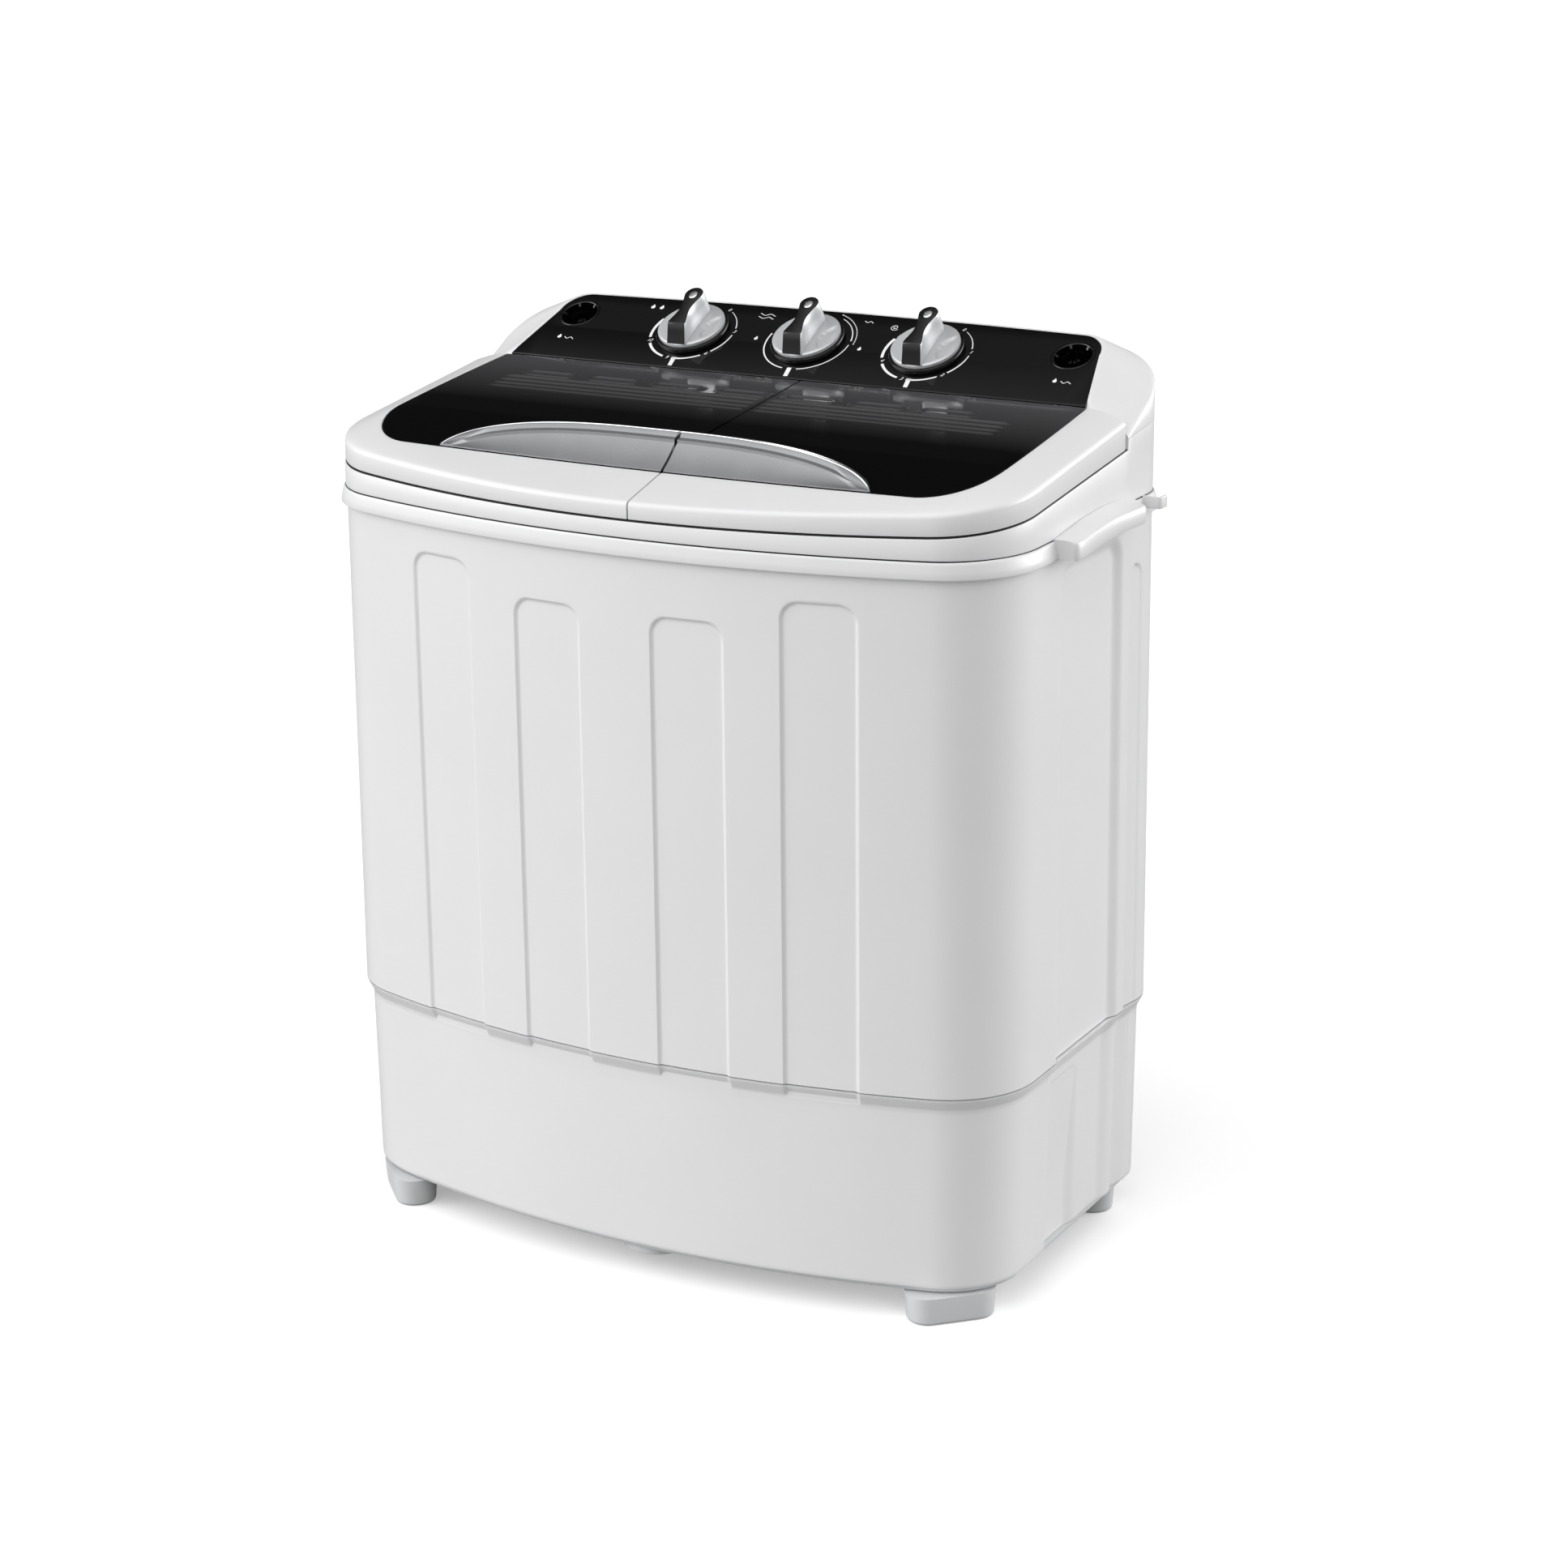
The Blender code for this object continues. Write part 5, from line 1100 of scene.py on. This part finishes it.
for lid, (sign, start) in SPLIT.items():
    a = np.radians(np.linspace(0, 90, 15))[1:]
    front_x = np.linspace(start + 0.2, 208, 92)
    column_x = np.concatenate([front_x, 208 + 46.1 * np.sin(a)])
    column_y = np.concatenate([window_front(front_x) + 0.9, -60 - 56.6 * np.cos(a)])
    share = np.linspace(0, 1, 30)[:, None]
    ahead = column_y + share * (-50 - column_y)
    behind = dense(np.linspace(-50, 83.7, 14)[1:], (-0.5, 52, 0.75))[:, None] + 0 * column_y
    y = np.concatenate([ahead, behind])
    x = column_x * np.where(y > -60, (window_side(y) - 0.9) / 254.1, 1.0)
    real_x = sign * x
    z = lid_top(real_x, y) + window_relief(real_x, y)
    grid = join(real_x, y, z)
    faces = grid_faces(*x.shape)
    window = add_piece(f"{lid}_smoked_window", grid, faces if sign > 0 else faces[:, ::-1], smoke_and_painted_see_through, tidy=False)
    wall_step = window.modifiers.new("sheet", "SOLIDIFY")
    wall_step.thickness, wall_step.offset = 0.003, -1
    bake(window, sharp=50)
    settle(window, lid, f"{lid}_window")
    print(lid, "window:", len(window.data.polygons), "faces")

# %% [markdown]
# ## The silver pulls
# Across both lids lies one silver crescent, split where they meet: a ramp that rises from the window's front edge to
# an overhanging lip, with a slot for the fingers under it. Thin beads in a brighter silver run along the lip and
# round the rear of the scoop: painted highlights on those edges.

# %% Pulls and painted edge highlights
for lid, (sign, start) in SPLIT.items():
    x = np.concatenate([np.linspace(start + 0.3, 140, 36), np.linspace(142, 177.6, 40)])
    lip, rise, front = pull_lip(x), pull_rise(x), window_front(x) + 0.9
    share = np.minimum(1.0, rise / 7)
    real_x = sign * x
    section = []
    for t in np.linspace(0, 1, 16):
        outer_band = ease((x - (166 - 26 * t ** 1.4)) / 5) * ease((1 - t) * 3 + 0.25)
        hollow = (1.3 * t * (1 - t) * 2 + 0.9 * np.sin(math.pi * t)) * share
        section.append((front + (lip - front) * t, 1.0 + (rise - 1.0) * t - hollow + 1.5 * outer_band * share))
    section += [(lip + 0.7 * share, rise + 0.35 * share), (lip + 1.7 * share, rise + 0.3 * share),
                (lip + 2.4 * share, rise - 0.5 * share), (lip + 2.3 * share, rise - 1.7 * share),
                (lip - 6.0 * share, np.maximum(rise - 2.6 * share, 0.5)), (lip - 6.5 * share, 0.1),
                (front, 0.1)]
    grid = np.stack([join(real_x, y, lid_top(real_x, y) + h) for y, h in section], axis=1)
    settle(tube_grid(f"{lid}_silver_pull", grid, silver_satin, sharp=30), lid, f"{lid}_grip")
    # Painted highlight: a bead of brighter silver along the lip's edge, where light catches it.
    edge = join(real_x, lip + 1.2 * share, lid_top(real_x, lip) + rise + 0.35 * share)
    lip_highlight_section = arc(0, 0, 0.75, 0, 315, 8)
    settle(swept(f"{lid}_lip_painted_highlight", edge, lip_highlight_section, silver_bright_and_painted_highlight), lid)
    # Painted highlight: a bead of brighter silver round the scoop's rear edge.
    x = np.linspace(start + 4.5, 176.4, 80)
    run = join(x, scoop_line(x))
    x0, y0 = run[0]
    lead = join(np.full(10, x0 - 1.6), np.linspace(float(pull_lip(np.array([x0]))[0]) + 2.5, y0 - 2.0, 10))
    path = np.concatenate([lead, [[x0 - 1.2, y0 - 0.7]], run])
    real = path[:, 0] * sign
    bead = join(real, path[:, 1], lid_top(real, path[:, 1]) + 0.35)
    settle(swept(f"{lid}_scoop_painted_highlight", bead, arc(0, 0, 1.0, 0, 330, 12) * [1.0, 0.8], silver_bright_and_painted_highlight), lid)
print("pull rises", round(float(rise.max()), 1), "mm")

# %% [markdown]
# ## Hinge rails
# Under each window's rear edge a white rail holds the hinge rod, with gaps for the lugs that stand on the deck. It
# is hidden until the lid is up. The rods and brackets are plain steel in the real machine, so the CAD's own stay.

# %% Rails
HINGE_Z = 641 - 0.107 * 6.0 - 8.3
for lid, ends, lugs in (("wash_lid", (-262, 13.4), (-208, -34.25)), ("spin_lid", (15.6, 262), (63.25, 208))):
    x = np.linspace(*ends, 24)
    section = rounded_rectangle(0, 0, 11.6, 5.2, 1.6, 4)
    y = 72.3 + section[:, 0]
    top = lid_top(x[:, None], y[None, :]) - 3.5
    low = HINGE_Z - 5.5
    z = low + (section[:, 1] + 5.2) / 10.4 * (top - low)
    grid = join(np.broadcast_to(x[:, None], z.shape), np.broadcast_to(y, z.shape), z)
    rail = tube_grid(f"{lid}_rail", grid, abs_white)
    for lug in lugs:
        cut(rail, block("lug_gap", (lug - 4.6, 70.4, HINGE_Z - 20), (lug + 4.6, 100, HINGE_Z + 4.9)))
    settle(rail, lid)
print("hinge axis at z", round(HINGE_Z, 1))

# %% [markdown]
# ## Tubs, basket and pulsator
# With the lids up, the blue-white wash tub shows on the left and the perforated spin basket on the right. Both are
# lists of levels carried round an outline; the basket's holes are cells left out of its grid before it gets its
# thickness. The pulsator's four fins are bell curves of the distance to two crossing lines.

# %% Wash tub and pulsator
def tub_plan(inset):
    return rounded_rectangle(-134, -10, 128 - inset, 116 - inset, 55 - inset, 14)


tub_levels = [(20, 209.7), (14, 211.2), (7, 216), (2, 223), (0, 231), (0, 567.8), (-5.4, 568.2), (-5.8, 570),
              (-5.4, 571.6), (1.2, 571.6), (2.2, 571.0), (3, 569.5), (3, 560), (3.6, 420), (4.4, 233), (6.5, 225.5),
              (10.6, 219), (17, 214.6), (22.4, 212.9)]
wash_tub = tube_grid("wash_tub_liner", [lift(tub_plan(inset), z) for inset, z in tub_levels], pp_tub)
settle(wash_tub, stands_for="wash_tub")

a = np.linspace(0, math.tau, 192, endpoint=False)
rows = [lift(arc(-134, -10, r, 0, 358.125, 192), z) for r, z in ((3, 214.7), (88, 214.7), (90, 215.4), (90, 218.3))]
for r in np.linspace(89.4, 1.0, 34):
    x, y = r * np.cos(a), r * np.sin(a)
    fins = sum(np.exp(-(np.abs(x * s + y * c) / (5.5 + 0.03 * r)) ** 2 * 1.2) for s, c in ((1, 0), (0, 1)))
    height = 219.6 + 5.2 * math.cos(r / 90 * 1.4) + 9.0 * fins * ease((88 - r) / 26) * ease((r - 8) / 12)
    height = height + 14 * ease((25 - r) / 14)
    rows.append(join(x - 134, y - 10, height))
settle(tube_grid("pulsator_fins", rows, pp_tub), "pulsator_drive", "pulsator")
print("wash tub depth, mm:", round(571.6 - 212.9, 1))


# %% Spin tub and basket
spin_levels = [(88, 209.7), (98, 212), (105, 218), (108, 229), (108, 567.8), (113.4, 568.2), (113.8, 570),
               (113.4, 571.6), (107, 571.6), (105.6, 570.8), (105, 568), (105, 231), (102, 221), (95, 215),
               (86, 212.9)]
settle(lathe("spin_tub_liner", lambda u, v, h: join(146 + u, v - 20, h), spin_levels, pp_tub, 128),
       stands_for="spin_outer_tub")

wall_z = np.concatenate([[z, z + 4.6] for z in np.arange(262, 530, 15.0)])
profile = np.array([(1.0, 232.0), (20, 232), (60, 232), (86, 233), (95, 238), (99, 248)] + [(99.4, z) for z in wall_z]
                   + [(99.4, 545), (98.6, 552.5), (96, 555.4), (90, 556), (86, 555.4), (84.4, 553.6), (84.2, 550)])
a = np.linspace(0, math.tau, 144, endpoint=False)
grid = join(146 + profile[:, :1] * np.cos(a), -20 + profile[:, :1] * np.sin(a),
               np.broadcast_to(profile[:, 1:], (len(profile), 144)))
faces = grid_faces(len(profile), 144, wrap_columns=True)
row, column = np.divmod(np.arange(len(faces)), 144)
hole = (row >= 6) & (row < 6 + len(wall_z)) & (row % 2 == 0) & ((column + 3 * (row // 2 % 2)) % 6 == 0)
kept = faces[~hole].tolist() + [list(range(144))[::-1]]
basket = add_piece("spin_basket_perforated", grid, kept, pp_tub, tidy=False)
sheet = basket.modifiers.new("sheet", "SOLIDIFY")
sheet.thickness, sheet.offset = 0.0016, 1
bake(basket, sharp=40)
settle(basket, "spin_drive", "spin_basket")
print("holes in the basket:", int(hole.sum()))

# %% [markdown]
# ## The back
# A service cover is screwed over the opening in the back. Five louvres let the motors breathe: each is a ramp that
# stands out and drops back sharply. The drain outlet below it is a barbed hose tail, and the cord leaves through a
# ribbed gland.

# %% Rear cover, outlet and gland
x = dense(np.linspace(-200, 200, 30), (-82, -68, 1.2), (68, 82, 1.2), (-200, -194, 1.0), (194, 200.1, 1.0))
z = dense(np.linspace(210, 500, 24), (366, 452, 0.8), (210, 216, 1.0), (494, 500.1, 1.0))
gx, gz = np.meshgrid(x, z)
edge = -box_distance(gx, gz - 355, 200, 145, 10)
lift_out = 2.2 * ease(edge / 1.6) - 0.7 * ease((edge - 14) / 3)
for row in range(5):
    lower = 440 - 14 * row
    ramp = np.clip((gz - lower) / 9.0, 0, 1)
    hood = (1 - ramp) * (gz > lower) * ease((76 - np.abs(gx)) / 8)
    lift_out = lift_out + 1.9 * hood
for sx in (-186, 186):
    for sz in (224, 486):
        lift_out = lift_out + 1.1 * np.sqrt(np.clip(1 - ((gx - sx) ** 2 + (gz - sz) ** 2) / 16, 0, 1))
front_y = HALF_DEPTH - 4.2
outside = join(gx, front_y + lift_out, gz)
back = join(gx, front_y, gz)
count, (r, c) = gx.size, gx.shape
faces = grid_faces(r, c)
rim_ids = np.concatenate([np.arange(c), np.arange(1, r) * c + c - 1, np.arange(c - 2, -1, -1) + (r - 1) * c,
                          np.arange(r - 2, 0, -1) * c])
ahead = np.roll(rim_ids, -1)
skirt = join(rim_ids, ahead, ahead + count, rim_ids + count)
cover = add_piece("service_cover", np.concatenate([outside.reshape(-1, 3), back.reshape(-1, 3)]),
                  np.concatenate([faces, faces[:, ::-1] + count, skirt]), abs_white)
settle(cover, stands_for="rear_cover")


def tail(name, x, z, section, finish, stands_for):
    """A round part turned about a line along Y: circles of (radius, y)."""
    part = lathe(name, lambda u, v, h: join(x + u, h, z + v), section, finish, 64, ring=True)
    return settle(part, stands_for=stands_for)


barbs = [(11, 138), (13.8, 138), (13.8, 150), (12.4, 152), (12.4, 156), (13.6, 158), (12.4, 162), (13.6, 163.5),
         (12.4, 167.5), (13.4, 169), (12.2, 171.6), (11, 172)]
ribs = [(3.2, 150), (6.8, 150), (6.8, 160.4), (6.9, 162), (5.6, 163), (5.6, 164.4), (6.6, 165), (6.6, 166.4),
        (5.2, 167.2), (5.2, 168.6), (6.0, 169.2), (5.6, 171.4), (3.2, 172)]
tail("drain_hose_tail", -215, 70, barbs, pp_grey, "drain_outlet")
tail("cord_gland_ribbed", 215, 110, ribs, rubber_black, "cord_gland")
print("cover:", len(cover.data.polygons), "faces")

# %% [markdown]
# ## Parts inside
# Motors, pulleys, brake and valve are hidden in the case, and their CAD shapes are right as they are. They only get
# their finish: zinc plated motors, a rubber belt, brushed hinge rods.

# %% Finishes for the CAD nodes that stay
inside_finishes = {
    steel_brushed: ("wash_lid_hinge_rod", "spin_lid_hinge_rod", "spin_shaft", "brake_post"),
    steel_zinc: ("wash_lid_hinge_bracket", "spin_lid_hinge_bracket", "wash_motor", "spin_motor", "driven_pulley",
                 "motor_pulley", "brake_arm"),
    iron_cast: ("bearing_housing",),
    rubber_black: ("drive_belt", "drain_plunger"),
    pp_grey: ("drain_valve_box",),
    nylon_grey: ("wash_timer_body", "selector_body", "spin_timer_body"),
    mesh_filter: ("lint_filter",),
}
for finish, nodes in inside_finishes.items():
    for node in nodes:
        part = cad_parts[node]
        part.data.materials.clear()
        part.data.materials.append(finish)
print("CAD nodes kept:", sum(len(n) for n in inside_finishes.values()))

# %% [markdown]
# ## Floor and light
# A plain pale floor and a studio of soft light: bright to the left and behind on the right, darker at the front
# right, which models the rounded corner, and pale above. The world's brightness is a sum of wide lobes, each a power
# of how nearly a direction points one way. The camera sees the floor and the backdrop as plain white paper.

# %% Floor and studio
floor_mesh = bpy.data.meshes.new("floor")
floor_mesh.from_pydata([(-40, -40, 0), (40, -40, 0), (40, 40, 0), (-40, 40, 0)], [], [(0, 1, 2, 3)])
paper, tree, shader = new_finish("matt_white_paper", Roughness=0.9, IOR=1.3)
shader.inputs["Emission Color"].default_value = (1, 1, 1, 1)
watched = add_node(tree, "ShaderNodeLightPath")
shade = add_node(tree, "ShaderNodeMixRGB", {"Fac": watched.outputs["Is Camera Ray"], "Color1": colour("#959595"),
                                            "Color2": colour("#F4F4F4")})
tree.links.new(shade.outputs[0], shader.inputs["Base Color"])
glow = add_node(tree, "ShaderNodeMath", {0: watched.outputs["Is Camera Ray"], 1: 0.32}, operation="MULTIPLY")
tree.links.new(glow.outputs[0], shader.inputs["Emission Strength"])
floor_mesh.materials.append(paper)
floor = bpy.data.objects.new("floor", floor_mesh)
scene.collection.objects.link(floor)

world = bpy.data.worlds.new("studio")
scene.world = world
world.use_nodes = True
tree = world.node_tree
back_node = tree.nodes["Background"]
back_node.inputs["Color"].default_value = (1, 1, 1, 1)
way = add_node(tree, "ShaderNodeTexCoord")


def lobe(direction, power, strength):
    """Strength times the cosine to a direction, cut at zero and raised to a power."""
    axis = np.array(direction) / np.linalg.norm(direction)
    dot = add_node(tree, "ShaderNodeVectorMath", {0: way.outputs["Generated"], 1: axis.tolist()},
                   operation="DOT_PRODUCT")
    cut_off = add_node(tree, "ShaderNodeMath", {0: dot.outputs["Value"], 1: 0.0}, operation="MAXIMUM")
    raised = add_node(tree, "ShaderNodeMath", {0: cut_off.outputs[0], 1: power}, operation="POWER")
    return add_node(tree, "ShaderNodeMath", {0: raised.outputs[0], 1: strength}, operation="MULTIPLY").outputs[0]


total = None
for direction, power, strength in (((0, -0.5, 0.85), 4.0, 1.7), ((-0.84, -0.54, 0.2), 12.0, 5.5),
                                   ((0.72, 0.68, 0.1), 12.0, 8.5), ((0.5, -0.8, 0.15), 2.0, 0.5)):
    part = lobe(direction, power, strength)
    total = part if total is None else add_node(tree, "ShaderNodeMath", {0: total, 1: part},
                                                operation="ADD").outputs[0]
total = add_node(tree, "ShaderNodeMath", {0: total, 1: 0.02}, operation="ADD").outputs[0]
tree.links.new(total, back_node.inputs["Strength"])
seen = add_node(tree, "ShaderNodeLightPath")
plain = add_node(tree, "ShaderNodeBackground", {"Color": (1, 1, 1, 1), "Strength": 1.0})
mix = add_node(tree, "ShaderNodeMixShader", {0: seen.outputs["Is Camera Ray"], 1: back_node.outputs[0],
                                             2: plain.outputs[0]})
tree.links.new(mix.outputs[0], tree.nodes["World Output"].inputs["Surface"])


def soft_box(name, place, aim, size, power):
    """A square lamp that looks at a point."""
    data = bpy.data.lights.new(name, "AREA")
    data.energy, data.size = power, size
    lamp = bpy.data.objects.new(name, data)
    scene.collection.objects.link(lamp)
    gaze = np.array(place, dtype=float) - np.array(aim, dtype=float)
    gaze /= np.linalg.norm(gaze)
    side = np.cross([0, 0, 1.0], gaze)
    side /= np.linalg.norm(side)
    turn = np.eye(4)
    turn[:3, 0], turn[:3, 1], turn[:3, 2], turn[:3, 3] = side, np.cross(gaze, side), gaze, place
    lamp.matrix_world = turn.T.tolist()
    return lamp


soft_box("left_soft_box", (-2.2, -2.0, 1.6), (0, 0, 0.4), 0.8, 3)
